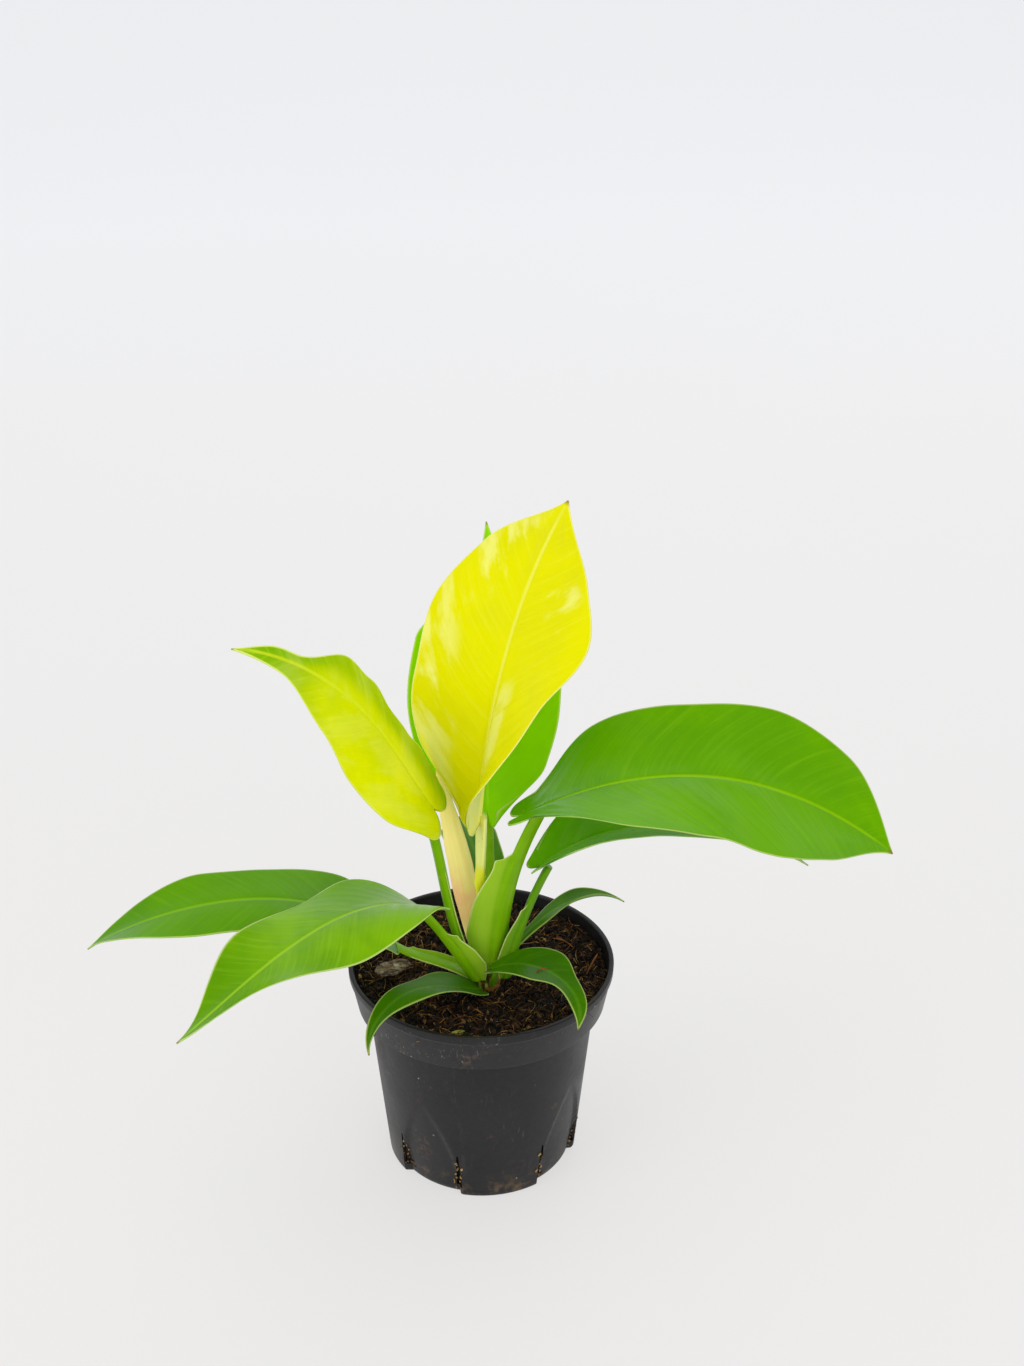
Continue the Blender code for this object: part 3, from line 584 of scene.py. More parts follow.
# ------------------------------------------------------------------ finishes
def leaf_finish(name, body, deep, pale, rib, edge, under, gloss=0.32, streaks=0.35,
                shine=0.26, midrib_share=0.7, patches=0.0, tip_tone=0.0, hairs=0.14,
                mottle=0.6, right_tone=0.0, spots=()):
    f = Finish(name, Specular_IOR_Level=shine, Coat_Roughness=0.18, Coat_IOR=1.4,
               Specular_Tint=(0.75, 1.0, 0.04, 1.0))
    path, x, rim = f.attribute("vein")
    u, v, below = f.attribute("blade")
    spot = f.spot()
    cloud = f.smooth(f.noise(spot, 26.0, 4.0, 0.55), 0.36, 0.66)
    streak = f.noise(f.join(path * 0.42, x * 0.030, u * 1.5), 1.0, 5.0, 0.62)
    hair = f.noise(f.join(path * 1.9, x * 0.05, u * 2.0), 1.0, 2.0, 0.6)
    lateral = f.add("ShaderNodeMath", {"operation": "PINGPONG"}, {0: path / VEIN_STEP, 1: 0.5})
    vein = f.fade(lateral, 0.0, 0.055) * f.smooth(x, 1.0, 5.0) * f.smooth(rim, 1.0, 7.0)
    colour = f.blend(cloud * mottle, body, deep)
    colour = f.blend(f.smooth(u, 0.52, 0.88) * tip_tone, colour, deep)
    if right_tone:
        colour = f.blend(f.smooth(v, -0.75, -0.15, right_tone, 0.0), colour, deep)
    colour = f.blend(f.smooth(streak, 0.50, 0.72) * streaks, colour, pale)
    colour = f.blend(f.smooth(hair, 0.45, 0.75) * hairs, colour, deep)
    wash = f.noise(f.join(path * 0.060, x * 0.035, rim * 0.02), 1.0, 4.0, 0.6)
    cover = 0.0 if spots else 1.0
    for at_u, at_v, reach_u, reach_v in spots:
        off_u, off_v = (u - at_u) / reach_u, (v - at_v) / reach_v
        cover = cover + f.fade(off_u * off_u + off_v * off_v, 0.1, 1.0)
    colour = f.blend(f.smooth(wash, 0.44, 0.60) * cover * patches, colour, edge)
    colour = f.blend(vein * (0.4 * streaks), colour, rib)
    midrib = f.fade(x, 0.35, 1.25) * f.smooth(u, 0.90, 1.0, 1.0, 0.2)
    colour = f.blend(midrib * midrib_share, colour, rib)
    colour = f.blend(f.smooth(rim, 0.20, 0.75, 0.8, 0.0), colour, edge)
    colour = f.blend(f.smooth(u, 0.980, 0.999) * 0.8, colour, (126, 84, 30))
    back = f.blend(f.smooth(streak, 0.42, 0.7) * 0.35, under, pale)
    back = f.blend(midrib * 0.8, back, rib)
    colour = f.blend(below, colour, back)
    cells = f.noise(spot, 1400.0, 2.0, 0.6)
    f.bump(streak * 0.6 + hair * 0.3 + cells * 0.08 - vein * 0.12, 0.25, 0.0003)
    return f.done(colour,
                  f.smooth(streak, 0.3, 0.8, gloss - 0.05, gloss + 0.14) + below * 0.2,
                  f.smooth(cloud, 0.0, 1.0, 0.0, 0.06) * (1 - below))


def stalk_finish(name, body, deep, pale, wing, foot, head=None):
    f = Finish(name, Specular_IOR_Level=0.3, Coat_Roughness=0.3,
               Specular_Tint=(0.8, 1.0, 0.15, 1.0))
    t, s, thin = f.attribute("stalk")
    spot = f.spot()
    ribs = f.noise(f.join(s * 9.0, t * 0.8, 0.0), 1.0, 4.0, 0.6)
    cloud = f.noise(spot, 60.0, 3.0, 0.5)
    colour = f.blend(f.smooth(ribs, 0.4, 0.7) * 0.45, body, deep)
    colour = f.blend(f.smooth(cloud, 0.4, 0.7) * 0.35, colour, pale)
    colour = f.blend(f.smooth(t, 0.0, 0.22, 0.75, 0.0), colour, foot)
    if head:
        colour = f.blend(f.smooth(t, 0.60, 0.68), colour, head)
    colour = f.blend(f.smooth(thin, 0.0, 2.4) * 0.55, colour, wing)
    margin = f.smooth(abs(s), 0.93, 0.995) * f.smooth(thin, 0.1, 0.7)
    colour = f.blend(margin * 0.8, colour, (222, 226, 150))
    fleck = f.fade(f.dots(spot, 230.0), 0.06, 0.16)
    sparse = f.smooth(f.noise(spot, 90.0, 2.0), 0.56, 0.66)
    colour = f.blend(fleck * sparse * 0.8, colour, (186, 170, 96))
    f.bump(ribs * 0.8 + f.noise(spot, 900.0, 2.0) * 0.2, 0.35, 0.0003)
    return f.done(colour, f.smooth(ribs, 0.3, 0.7, 0.30, 0.46), f.smooth(cloud, 0.3, 0.7, 0.02, 0.08))


def pot_finish():
    f = Finish("moulded_pot", Specular_IOR_Level=0.26, Coat_Roughness=0.35)
    spot = f.spot()
    z = f.split(spot)[2]
    cloud = f.noise(spot, 34.0, 4.0, 0.6)
    fine = f.noise(spot, 420.0, 3.0, 0.6)
    colour = f.blend(f.smooth(cloud, 0.35, 0.7), (24, 23, 24), (34, 32, 33))
    dust = f.smooth(f.noise(f.stretch(spot, (1.0, 1.0, 0.35)), 95.0, 5.0, 0.7), 0.55, 0.78)
    colour = f.blend(dust * 0.16, colour, (104, 96, 88))
    brown = f.smooth(f.noise(spot, 46.0, 3.0, 0.6), 0.60, 0.74) * f.smooth(fine, 0.45, 0.62)
    colour = f.blend(brown * 0.40, colour, (96, 72, 56))
    speck = f.fade(f.dots(spot, 88.0), 0.035, 0.055)
    few = f.smooth(f.noise(spot, 55.0, 1.0), 0.52, 0.60)
    colour = f.blend(speck * few * 0.85, colour, (178, 176, 172))
    scuff = f.smooth(f.noise(f.stretch(spot, (1.0, 1.0, 0.30)), 900.0, 3.0, 0.75), 0.60, 0.72)
    patch = f.smooth(f.noise(spot, 44.0, 2.0, 0.5), 0.55, 0.66) * f.smooth(z, 0.050, 0.080)
    colour = f.blend(scuff * patch * 0.55, colour, (160, 158, 154))
    drip = f.smooth(f.noise(f.stretch(spot, (1.0, 1.0, 0.10)), 700.0, 2.0, 0.6), 0.62, 0.74)
    wiped = f.smooth(f.noise(spot, 30.0, 1.0), 0.55, 0.65)
    colour = f.blend(drip * wiped * 0.16, colour, (130, 126, 120))
    low = f.fade(z, 0.001, 0.016) * f.smooth(f.noise(spot, 130.0, 4.0, 0.7), 0.5, 0.7)
    colour = f.blend(low * 0.45, colour, (126, 100, 66))
    f.bump(fine * 0.5 + cloud * 0.5 + scuff * patch * 0.4, 0.22, 0.0004)
    return f.done(colour,
                  f.smooth(cloud, 0.3, 0.7, 0.36, 0.50) + dust * 0.2,
                  f.smooth(fine, 0.3, 0.7, 0.0, 0.06))


def soil_finish():
    f = Finish("potting_soil", Specular_IOR_Level=0.2)
    spot = f.spot()
    coarse = f.noise(spot, 140.0, 6.0, 0.7)
    grain = f.noise(spot, 700.0, 4.0, 0.7)
    colour = f.blend(f.smooth(coarse, 0.38, 0.62), (8, 6, 4), (40, 25, 14))
    colour = f.blend(f.smooth(grain, 0.55, 0.75) * 0.4, colour, (92, 64, 34))
    f.bump(coarse * 0.6 + grain * 0.5, 0.9, 0.0012)
    return f.done(colour, f.smooth(grain, 0.2, 0.8, 0.75, 1.0))


def crumb_finish(name, dark, light, bright):
    """Loose bits, each with a tone of its own from its own place."""
    f = Finish(name, Specular_IOR_Level=0.25)
    spot = f.spot()
    each = f.noise(spot, 240.0, 1.0)
    some = f.noise(spot, 97.0, 2.0, 0.6)
    colour = f.blend(f.smooth(each, 0.35, 0.68), dark, light)
    colour = f.blend(f.smooth(some, 0.58, 0.72) * 0.8, colour, bright)
    f.bump(f.noise(spot, 1500.0, 3.0, 0.7), 0.5, 0.0003)
    return f.done(colour, f.smooth(some, 0.2, 0.8, 0.65, 0.95))


def papery_finish():
    # a faint glow in the sheath's own colour: painted light standing in for light through the thin
    # tissue
    f = Finish("papery_sheath", Specular_IOR_Level=0.25, Emission_Strength=0.17)
    t, s = f.attribute("stalk")[:2]
    spot = f.spot()
    ribs = f.noise(f.join(s * 14.0, t * 1.2, 0.0), 1.0, 4.0, 0.65)
    cloud = f.noise(spot, 85.0, 3.0, 0.5)
    colour = f.blend(f.smooth(ribs, 0.35, 0.7) * 0.6, (252, 236, 146), (246, 212, 112))
    blush = f.fade(abs(t - 0.30), 0.04, 0.26) * f.smooth(cloud, 0.3, 0.6)
    colour = f.blend(blush * 0.6, colour, (255, 180, 140))
    colour = f.blend(f.smooth(t, 0.62, 0.98) * 0.6, colour, (214, 196, 80))
    colour = f.blend(f.smooth(abs(s), 0.90, 0.99) * 0.5, colour, (190, 140, 70))
    # the painted glow takes the sheath's colour
    f.set("Emission Color", colour)
    f.bump(ribs, 0.6, 0.0004)
    return f.done(colour, f.smooth(ribs, 0.3, 0.7, 0.45, 0.65))


def bark_finish():
    f = Finish("bark", Specular_IOR_Level=0.25)
    spot = f.spot()
    turned = f.add("ShaderNodeMapping", None, {0: spot, 2: (0.0, 0.0, -0.35), 3: (0.25, 1.0, 1.0)})
    grain = f.noise(turned, 900.0, 5.0, 0.7)
    cloud = f.noise(spot, 210.0, 3.0, 0.6)
    colour = f.blend(f.smooth(grain, 0.4, 0.65), (50, 36, 24), (146, 124, 96))
    colour = f.blend(f.smooth(cloud, 0.55, 0.72), colour, (176, 166, 144))
    f.bump(grain, 0.9, 0.0006)
    return f.done(colour, f.smooth(grain, 0.3, 0.7, 0.7, 0.95))


def stem_finish():
    f = Finish("brown_stem", Specular_IOR_Level=0.25)
    spot = f.spot()
    z = f.split(spot)[2]
    grain = f.noise(f.stretch(spot, (1.0, 1.0, 0.5)), 520.0, 5.0, 0.7)
    ring = f.noise(f.join(0.0, 0.0, z * 900.0), 1.0, 2.0, 0.6)
    colour = f.blend(f.smooth(grain, 0.35, 0.7), (96, 62, 24), (182, 128, 62))
    colour = f.blend(f.smooth(ring, 0.5, 0.62) * 0.6, colour, (44, 28, 14))
    colour = f.blend(f.smooth(z, SOIL_TOP + 0.006, SOIL_TOP + 0.012) * 0.8, colour,
                     (120, 140, 30))
    f.bump(grain * 0.7 + ring * 0.5, 0.8, 0.0006)
    return f.done(colour, f.smooth(grain, 0.3, 0.7, 0.55, 0.85))


def floor_finish():
    f = Finish("pale_floor", Specular_IOR_Level=0.2)
    spot = f.spot()
    cloud = f.noise(spot, 1.3, 3.0, 0.5)
    y, z = f.split(spot)[1:]
    # the floor glows: painted light that lifts the shade round the pot and under the leaves, brighter
    # and bluer up the backdrop where less lamp light falls
    far = f.smooth(y + z * 0.6, 0.1, 1.9)
    f.set("Emission Strength", 1.0)
    f.set("Emission Color", f.blend(far, (0.610, 0.600, 0.595, 1.0), (0.630, 0.640, 0.660, 1.0)))
    return f.done(f.blend(cloud, (0.22, 0.22, 0.22, 1.0), (0.24, 0.235, 0.23, 1.0)),
                  f.smooth(cloud, 0.3, 0.7, 0.55, 0.65))


# ------------------------------------------------------------------ the pot
def wall_radius(z):
    """Radius of the pot's outside, standing panels included."""
    collar_foot = POT_HEIGHT - COLLAR_HEIGHT
    if z >= collar_foot:
        k = (z - collar_foot) / COLLAR_HEIGHT
        return RIM_RADIUS * (COLLAR_TAPER + (1 - COLLAR_TAPER) * k)
    k = z / collar_foot
    return RIM_RADIUS * (BASE_TAPER + (BODY_TAPER - BASE_TAPER) * k)


def recess(z, degrees):
    """How far a sunk panel lies behind the wall."""
    if z >= RECESS_TOP:
        return 0.0
    rise = 1.0 - z / RECESS_TOP
    off = abs((degrees - PANEL_TURN + 45.0) % 90.0 - 45.0)
    edge = 45.0 - (45.0 - PANEL_HALF) * (1 - (1 - rise) ** 2)
    step = min(max((off - edge) / RECESS_EASE, 0.0), 1.0)
    return RECESS_DEPTH * rise * step * step * (3 - 2 * step)


def turned(profile, shift):
    """Points and faces of a closed turned body whose profile starts and ends on the axis."""
    points, steps = [], TURN_STEPS
    for radius, height, tag in profile:
        for j in range(steps):
            angle = 2 * math.pi * j / steps
            r, z = shift(radius, height, tag, math.degrees(angle))
            points.append((r * math.cos(angle), r * math.sin(angle), z))
    faces = around(len(profile), steps)
    for row in (0, len(profile) - 1):
        ring = points[row * steps:(row + 1) * steps]
        points.append(tuple(np.mean(ring, axis=0)))
        for j in range(steps):
            faces.append((len(points) - 1, row * steps + j, row * steps + (j + 1) % steps))
    return points, faces


def rounded(corners, radius=0.0005, bits=3):
    """A profile with its corners rounded off."""
    smooth = []
    for i, (r, z, tag) in enumerate(corners):
        if i in (0, len(corners) - 1) or tag == "wall":
            smooth.append((r, z, tag))
            continue
        here = np.array([r, z])
        before = np.array(corners[i - 1][:2]) - here
        after = np.array(corners[i + 1][:2]) - here
        cut = min(radius, np.linalg.norm(before) * 0.45, np.linalg.norm(after) * 0.45)
        a = here + before / max(np.linalg.norm(before), 1e-9) * cut
        b = here + after / max(np.linalg.norm(after), 1e-9) * cut
        for j in range(bits + 1):
            t = j / bits
            p = (1 - t) ** 2 * a + 2 * t * (1 - t) * here + t * t * b
            smooth.append((float(p[0]), float(p[1]), tag))
    return smooth


def make_pot(finish):
    """The moulded pot, its slits cut through."""
    foot, lip = POT_HEIGHT - COLLAR_HEIGHT, POT_HEIGHT - LIP_HEIGHT
    levels = list(np.linspace(0.0012, RECESS_TOP, 34))
    base = wall_radius(0)
    outside = [(base * 0.5, 0.0, "wall"), (base - 0.0050, 0.0, "wall"),
               (base - 0.0012, 0.0, "wall"), (base - 0.0004, 0.0003, "wall")]
    outside += [(wall_radius(z), z, "wall") for z in levels]
    above = RECESS_TOP + 0.002
    corners = [(wall_radius(above), above, "plain"),
               (wall_radius(foot - LUG_DROP - 0.0007), foot - LUG_DROP - 0.0007, "plain"),
               (wall_radius(foot - LUG_DROP), foot - LUG_DROP, "lug"),
               (wall_radius(foot - 0.002), foot - 0.002, "lug"),
               (wall_radius(foot - 1e-5), foot - 0.0002, "plain"),
               (wall_radius(foot), foot + 0.0006, "plain"),
               (wall_radius(lip), lip, "plain"),
               (wall_radius(lip) + LIP_PROUD, lip + 0.0006, "plain"),
               (RIM_RADIUS, POT_HEIGHT - 0.0003, "plain"),
               (RIM_RADIUS - 0.0004, POT_HEIGHT, "plain"),
               (RIM_RADIUS - WALL - 0.0006, POT_HEIGHT, "plain"),
               (RIM_RADIUS - WALL - 0.0010, POT_HEIGHT - 0.0005, "plain"),
               (wall_radius(foot) - WALL, foot + 0.0006 + WALL, "plain"),
               (wall_radius(foot - 1e-5) - WALL, foot + 0.0004, "plain"),
               (wall_radius(above) - WALL, above, "plain")]
    inside = [(wall_radius(z) - WALL, z, "wall") for z in levels[::-1] if z > FLOOR_THICK]
    inside += [(wall_radius(FLOOR_THICK) - WALL, FLOOR_THICK, "wall"),
               (base * 0.5, FLOOR_THICK, "wall")]

    def shift(radius, height, tag, degrees):
        if tag == "wall" and radius > base * 0.6:
            return radius - recess(height, degrees), height
        off = abs((degrees - LUG_TURN + 180) % 360 - 180)
        if tag == "lug" and off < LUG_HALF:
            return radius + LUG_PROUD, height
        return radius, height

    pot = new_piece("pot", *turned(outside + rounded(corners) + inside, shift), "pot_plastic",
                    finish, ["pot"])
    points, faces = [], []
    near = wall_radius(0.0) - 3.6 * WALL - RECESS_DEPTH
    far = wall_radius(SLIT_TOP) + 0.004
    outline = [(-SLIT_WIDTH / 2, SLIT_FOOT), (SLIT_WIDTH / 2, SLIT_FOOT),
               (SLIT_POINT, SLIT_TOP), (-SLIT_POINT, SLIT_TOP)]
    for azimuth in slit_azimuths():
        out = np.array([math.cos(azimuth), math.sin(azimuth), 0.0])
        along = np.array([-out[1], out[0], 0.0])
        some, more = tube([[out * r + along * a + np.array([0, 0, z]) for a, z in outline]
                           for r in (near, far)])
        faces += [tuple(len(points) + i for i in face) for face in more]
        points += some
    slits = new_object("slits", new_mesh("slits", points, faces))
    face_out(slits.data)
    step = pot.modifiers.new("slits", "BOOLEAN")
    step.operation, step.solver, step.object = "DIFFERENCE", "EXACT", slits
    whole, cut = pot.data, finished_mesh(pot)
    pot.modifiers.clear()
    pot.data = cut
    bpy.data.meshes.remove(whole)
    bpy.data.objects.remove(slits, do_unlink=True)
    cut.name = "pot"
    cut.set_sharp_from_angle(angle=math.radians(38))


# ------------------------------------------------------------------ soil
def soil_height(x, y):
    """Height of the lumpy soil, calmer round the stem."""
    away = math.hypot(x - STEM_X, y - STEM_Y)
    fade = min(1.0, max(0.0, away / 0.010 - 0.55))
    lump = rough(x, y, 0.1, 0.019) * 0.0016 + rough(x, y, 3.3, 0.0075) * 0.0011
    lump += rough(x, y, 7.7, 0.0032) * 0.0007 + rough(x, y, 9.9, 0.0014) * 0.00035
    return SOIL_TOP + lump * (0.25 + 0.75 * fade)


def make_soil(finish):
    """The root ball, a clearance inside the pot."""
    foot = POT_HEIGHT - COLLAR_HEIGHT
    inset = WALL + GAP
    low = FLOOR_THICK + GAP
    profile = [(0.5 * wall_radius(low), low, "bottom")]
    profile += [(wall_radius(z) - inset, z, "wall") for z in np.linspace(low, RECESS_TOP, 16)]
    profile += [(wall_radius(foot - 1e-5) - inset, foot + 0.0004, "plain"),
                (wall_radius(foot) - inset - 0.0002, foot + 0.0012 + WALL, "plain")]
    edge = wall_radius(SOIL_TOP - 0.0008) - inset - 0.0002
    profile.append((edge, SOIL_TOP - 0.0014, "plain"))
    for k in np.linspace(1.0, 0.010, 74):
        profile.append((edge * k, SOIL_TOP, "top"))

    def shift(radius, height, tag, degrees):
        a = math.radians(degrees)
        if tag == "wall":
            return radius - recess(height, degrees), height
        if tag == "top":
            return radius, soil_height(radius * math.cos(a), radius * math.sin(a))
        return radius, height

    new_piece("soil", *turned(profile, shift), "soil", finish, ["soil"])


def make_stem(finish):
    """A short stem, ringed where old leaves sat."""
    steps = 40
    low, high = SOIL_TOP - STEM_DEPTH, SOIL_TOP + STEM_HEIGHT
    place_up = (0.0, 0.30, 0.44, 0.50, 0.56, 0.60, 0.64, 0.70, 0.74, 0.80, 0.86, 0.94, 1.0)
    share = (0.80, 0.98, 1.00, 1.06, 1.00, 0.93, 0.99, 0.86, 0.89, 0.80, 0.80, 0.62, 0.40)
    rings = []
    for k in np.linspace(0, 1, 44):
        swell = np.interp(k, place_up, share)
        z = low + (high - low) * k
        ring = []
        for j in range(steps):
            a = 2 * math.pi * j / steps
            r = STEM_RADIUS * swell * (1 + 0.07 * rough(math.cos(a), math.sin(a), z * 150, 0.7))
            ring.append((STEM_X + r * math.cos(a), STEM_Y + r * math.sin(a), z))
        rings.append(ring)
    new_piece("stem", *tube(rings), "stem", finish, ["stem"])


def make_cataphyll(finish):
    """The thin, open sheath beside the youngest leaf."""
    foot, middle, tip = (-2.8, -7.2, 112.5), (-8.8, 3.5, 146.0), (-18.5, 17.0, 189.0)
    rings, marks = [], []
    for t in np.linspace(0, 1, 44):
        centre = np.array([three(way, t) for way in zip(foot, middle, tip)])
        reach = 0.8 + 5.2 * math.sin(math.pi * min(1.0, 0.12 + 0.88 * t)) ** 0.8
        outer, inner, mark = [], [], []
        for s in np.linspace(-1, 1, 21):
            angle = s * 1.25
            wave = 1 + 0.05 * rough(s * 2, t * 6, 1.0, 0.6)
            for r, line in ((reach * wave, outer), (reach * wave - 0.32, inner)):
                r = max(r, 0.12)
                line.append(centre + np.array([r * math.sin(angle),
                                               -r * math.cos(angle) + reach, 0.0]))
            mark.append((t, s, 0.0))
        rings.append(place(outer + inner[::-1]))
        marks += mark + mark[::-1]
    new_piece("cataphyll", *tube(rings, strip=True), "cataphyll", finish, ["cataphyll"],
              {"stalk": marks})


def make_chip(finish):
    """A flat, rough piece of bark on the soil."""
    centre = np.array([-40.0, -2.0, DATUM_SOIL + 3.2])
    turn = math.radians(20)
    along = np.array([math.cos(turn), math.sin(turn), 0.08])
    across = np.array([-math.sin(turn), math.cos(turn), 0.05])
    up = np.array([0.0, 0.0, 1.0])
    rings = []
    for k in np.linspace(-8.3, 8.3, 34):
        wide = 4.1 * math.sqrt(max(0.02, 1 - (k / 8.5) ** 2)) + 0.2
        high = 1.5 * (max(0.03, 1 - (k / 8.5) ** 4)) ** 0.5
        ring = []
        for j in range(28):
            a = 2 * math.pi * j / 28
            c, s = math.cos(a), math.sin(a)
            c = math.copysign(abs(c) ** 0.7, c)
            s = math.copysign(abs(s) ** 0.6, s)
            bump = 1 + 0.22 * rough(k, 5 * c, 5 * s, 2.6) + 0.10 * rough(k, 5 * c, 5 * s, 0.9)
            ring.append(centre + along * k + across * wide * c * bump + up * high * s * bump)
        rings.append(place(ring))
    new_piece("bark_chip", *tube(rings), "bark", finish, ["bark_chip"])


# ------------------------------------------------------------------ geometry nodes
class Recipe:
    """A geometry node tree with named inputs, written as calls."""

    def __init__(self, name, *sizes):
        self.tree = bpy.data.node_groups.new(name, "GeometryNodeTree")
        side = self.tree.interface
        side.new_socket("Geometry", in_out="INPUT", socket_type="NodeSocketGeometry")
        side.new_socket("Geometry", in_out="OUTPUT", socket_type="NodeSocketGeometry")
        kinds = {**dict.fromkeys(sizes, "Float"), "Seed": "Int", "Material": "Material"}
        self.names = {label: side.new_socket(label, in_out="INPUT",
                                             socket_type="NodeSocket" + kind).identifier
                      for label, kind in kinds.items()}
        self.start = self.tree.nodes.new("NodeGroupInput")
        self.end = self.tree.nodes.new("NodeGroupOutput")

    def given(self, label):
        return self.start.outputs[label]

    def add(self, kind, settings=None, sockets=None, out=0):
        node = self.tree.nodes.new(kind)
        for key, value in (settings or {}).items():
            setattr(node, key, value)
        for key, value in (sockets or {}).items():
            if isinstance(value, bpy.types.NodeSocket):
                self.tree.links.new(value, node.inputs[key])
            else:
                node.inputs[key].default_value = value
        return node.outputs[out]

    def scattered(self):
        return self.add("GeometryNodeDistributePointsOnFaces", None, {
            "Mesh": self.given("Geometry"), "Density": self.given("Density"),
            "Seed": self.given("Seed")})

    def any_vector(self, low, high, seed):
        return self.add("FunctionNodeRandomValue", {"data_type": "FLOAT_VECTOR"},
                        {0: low, 1: high, "Seed": seed})

    def any_size(self, low, high, seed):
        return self.add("FunctionNodeRandomValue", {"data_type": "FLOAT"},
                        {2: self.given(low), 3: self.given(high), "Seed": seed}, 1)

    def finish(self, geometry):
        real = self.add("GeometryNodeRealizeInstances", None, {0: geometry})
        painted = self.add("GeometryNodeSetMaterial", None,
                           {0: real, "Material": self.given("Material")})
        self.tree.links.new(painted, self.end.inputs[0])

    def run(self, name, ground, slot, finish, **values):
        """A piece made by this recipe on a copy of the ground."""
        host = new_object(name, ground)
        step = host.modifiers.new(name, "NODES")
        step.node_group = self.tree
        for label, value in dict(values, Material=finish).items():
            step[self.names[label]] = value
        mesh = finished_mesh(host)
        bpy.data.objects.remove(host, do_unlink=True)
        mesh.name = name
        keep(new_object(name, mesh))


def crumbs_recipe():
    """Dented little balls of random size, turn and proportions."""
    r = Recipe("loose_crumbs", "Density", "Smallest", "Largest")
    points = r.scattered()
    ball = r.add("GeometryNodeMeshIcoSphere", None, {"Radius": 1.0, "Subdivisions": 2})
    spot = r.add("GeometryNodeInputPosition")
    bent = r.add("ShaderNodeTexNoise", {"noise_dimensions": "3D"},
                 {"Vector": spot, "Scale": 1.4, "Detail": 2.0}, "Color")
    push = r.add("ShaderNodeVectorMath", {"operation": "MULTIPLY_ADD"},
                 {0: bent, 1: (1.5, 1.5, 1.5), 2: (-0.75, -0.75, -0.75)})
    ball = r.add("GeometryNodeSetPosition", None, {"Geometry": ball, "Offset": push})
    turn = r.any_vector((0.0, 0.0, 0.0), (6.3, 6.3, 6.3), 3)
    size = r.any_size("Smallest", "Largest", 5)
    shape = r.any_vector((0.6, 0.5, 0.35), (1.5, 1.1, 0.9), 8)
    scale = r.add("ShaderNodeVectorMath", {"operation": "SCALE"}, {0: shape, "Scale": size})
    placed = r.add("GeometryNodeInstanceOnPoints", None, {
        "Points": points, "Instance": ball, "Rotation": turn, "Scale": scale})
    r.finish(placed)
    return r


def fibres_recipe():
    """Bent threads, lying nearly flat."""
    r = Recipe("loose_fibres", "Density", "Shortest", "Longest", "Thickness")
    points = r.scattered()
    strand = r.add("GeometryNodeCurveQuadraticBezier", None, {
        "Resolution": 6, "Start": (-0.5, 0.0, 0.0), "Middle": (0.05, 0.22, 0.20),
        "End": (0.5, -0.06, 0.02)})
    ring = r.add("GeometryNodeCurvePrimitiveCircle", None, {
        "Resolution": 4, "Radius": r.given("Thickness")})
    turn = r.any_vector((0.0, 0.0, 0.0), (1.0, 1.0, 1.0), 11)
    spread = r.add("ShaderNodeVectorMath", {"operation": "MULTIPLY_ADD"},
                   {0: turn, 1: (1.4, 1.4, 6.3), 2: (-0.7, -0.7, 0.0)})
    size = r.any_size("Shortest", "Longest", 12)
    placed = r.add("GeometryNodeInstanceOnPoints", None, {
        "Points": points, "Instance": strand, "Rotation": spread, "Scale": size})
    real = r.add("GeometryNodeRealizeInstances", None, {0: placed})
    tube_mesh = r.add("GeometryNodeCurveToMesh", None, {
        "Curve": real, "Profile Curve": ring, "Fill Caps": True})
    r.finish(tube_mesh)
    return r


def soil_ground():
    """The soil's surface as an open sheet, for loose bits to lie on."""
    edge = wall_radius(SOIL_TOP) - WALL - 0.0016
    points, faces = [], []
    rings, steps = 26, 90
    for i in range(rings + 1):
        radius = edge * (0.02 + 0.98 * i / rings)
        for j in range(steps):
            a = 2 * math.pi * j / steps
            x, y = radius * math.cos(a), radius * math.sin(a)
            points.append((x, y, soil_height(x, y) + 0.0004))
    for i in range(rings):
        for j in range(steps):
            k = (j + 1) % steps
            faces.append((i * steps + j, (i + 1) * steps + j, (i + 1) * steps + k, i * steps + k))
    return new_mesh("soil_ground", points, faces)


def dress_soil(crumbs):
    """Crumbs, bark bits and fibres lying on the soil."""
    ground = soil_ground()
    fibres = fibres_recipe()
    dark = crumb_finish("dark_crumbs", (12, 8, 6), (48, 30, 18), (84, 58, 32))
    tan = crumb_finish("tan_crumbs", (70, 46, 24), (136, 102, 58), (176, 146, 92))
    straw = crumb_finish("straw_fibres", (96, 62, 26), (180, 138, 70), (214, 182, 116))
    brown = crumb_finish("brown_fibres", (40, 24, 10), (104, 66, 28), (150, 100, 46))
    crumbs.run("soil_crumbs", ground, "soil", dark,
               Density=260000.0, Smallest=0.0004, Largest=0.0015, Seed=2)
    crumbs.run("bark_bits", ground, "bark", tan,
               Density=22000.0, Smallest=0.0004, Largest=0.0014, Seed=7)
    fibres.run("brown_fibres", ground, "soil", brown,
               Density=76000.0, Shortest=0.003, Longest=0.011, Thickness=0.00016, Seed=4)
    fibres.run("straw_fibres", ground, "soil", straw,
               Density=40000.0, Shortest=0.002, Longest=0.010, Thickness=0.00015, Seed=9)


def slit_azimuths():
    """The slits stand just beside the panels, two to a panel."""
    return [math.radians(PANEL_TURN + 90 * quarter + side * (PANEL_HALF + 1.5))
            for quarter in range(4) for side in (-1, 1)]


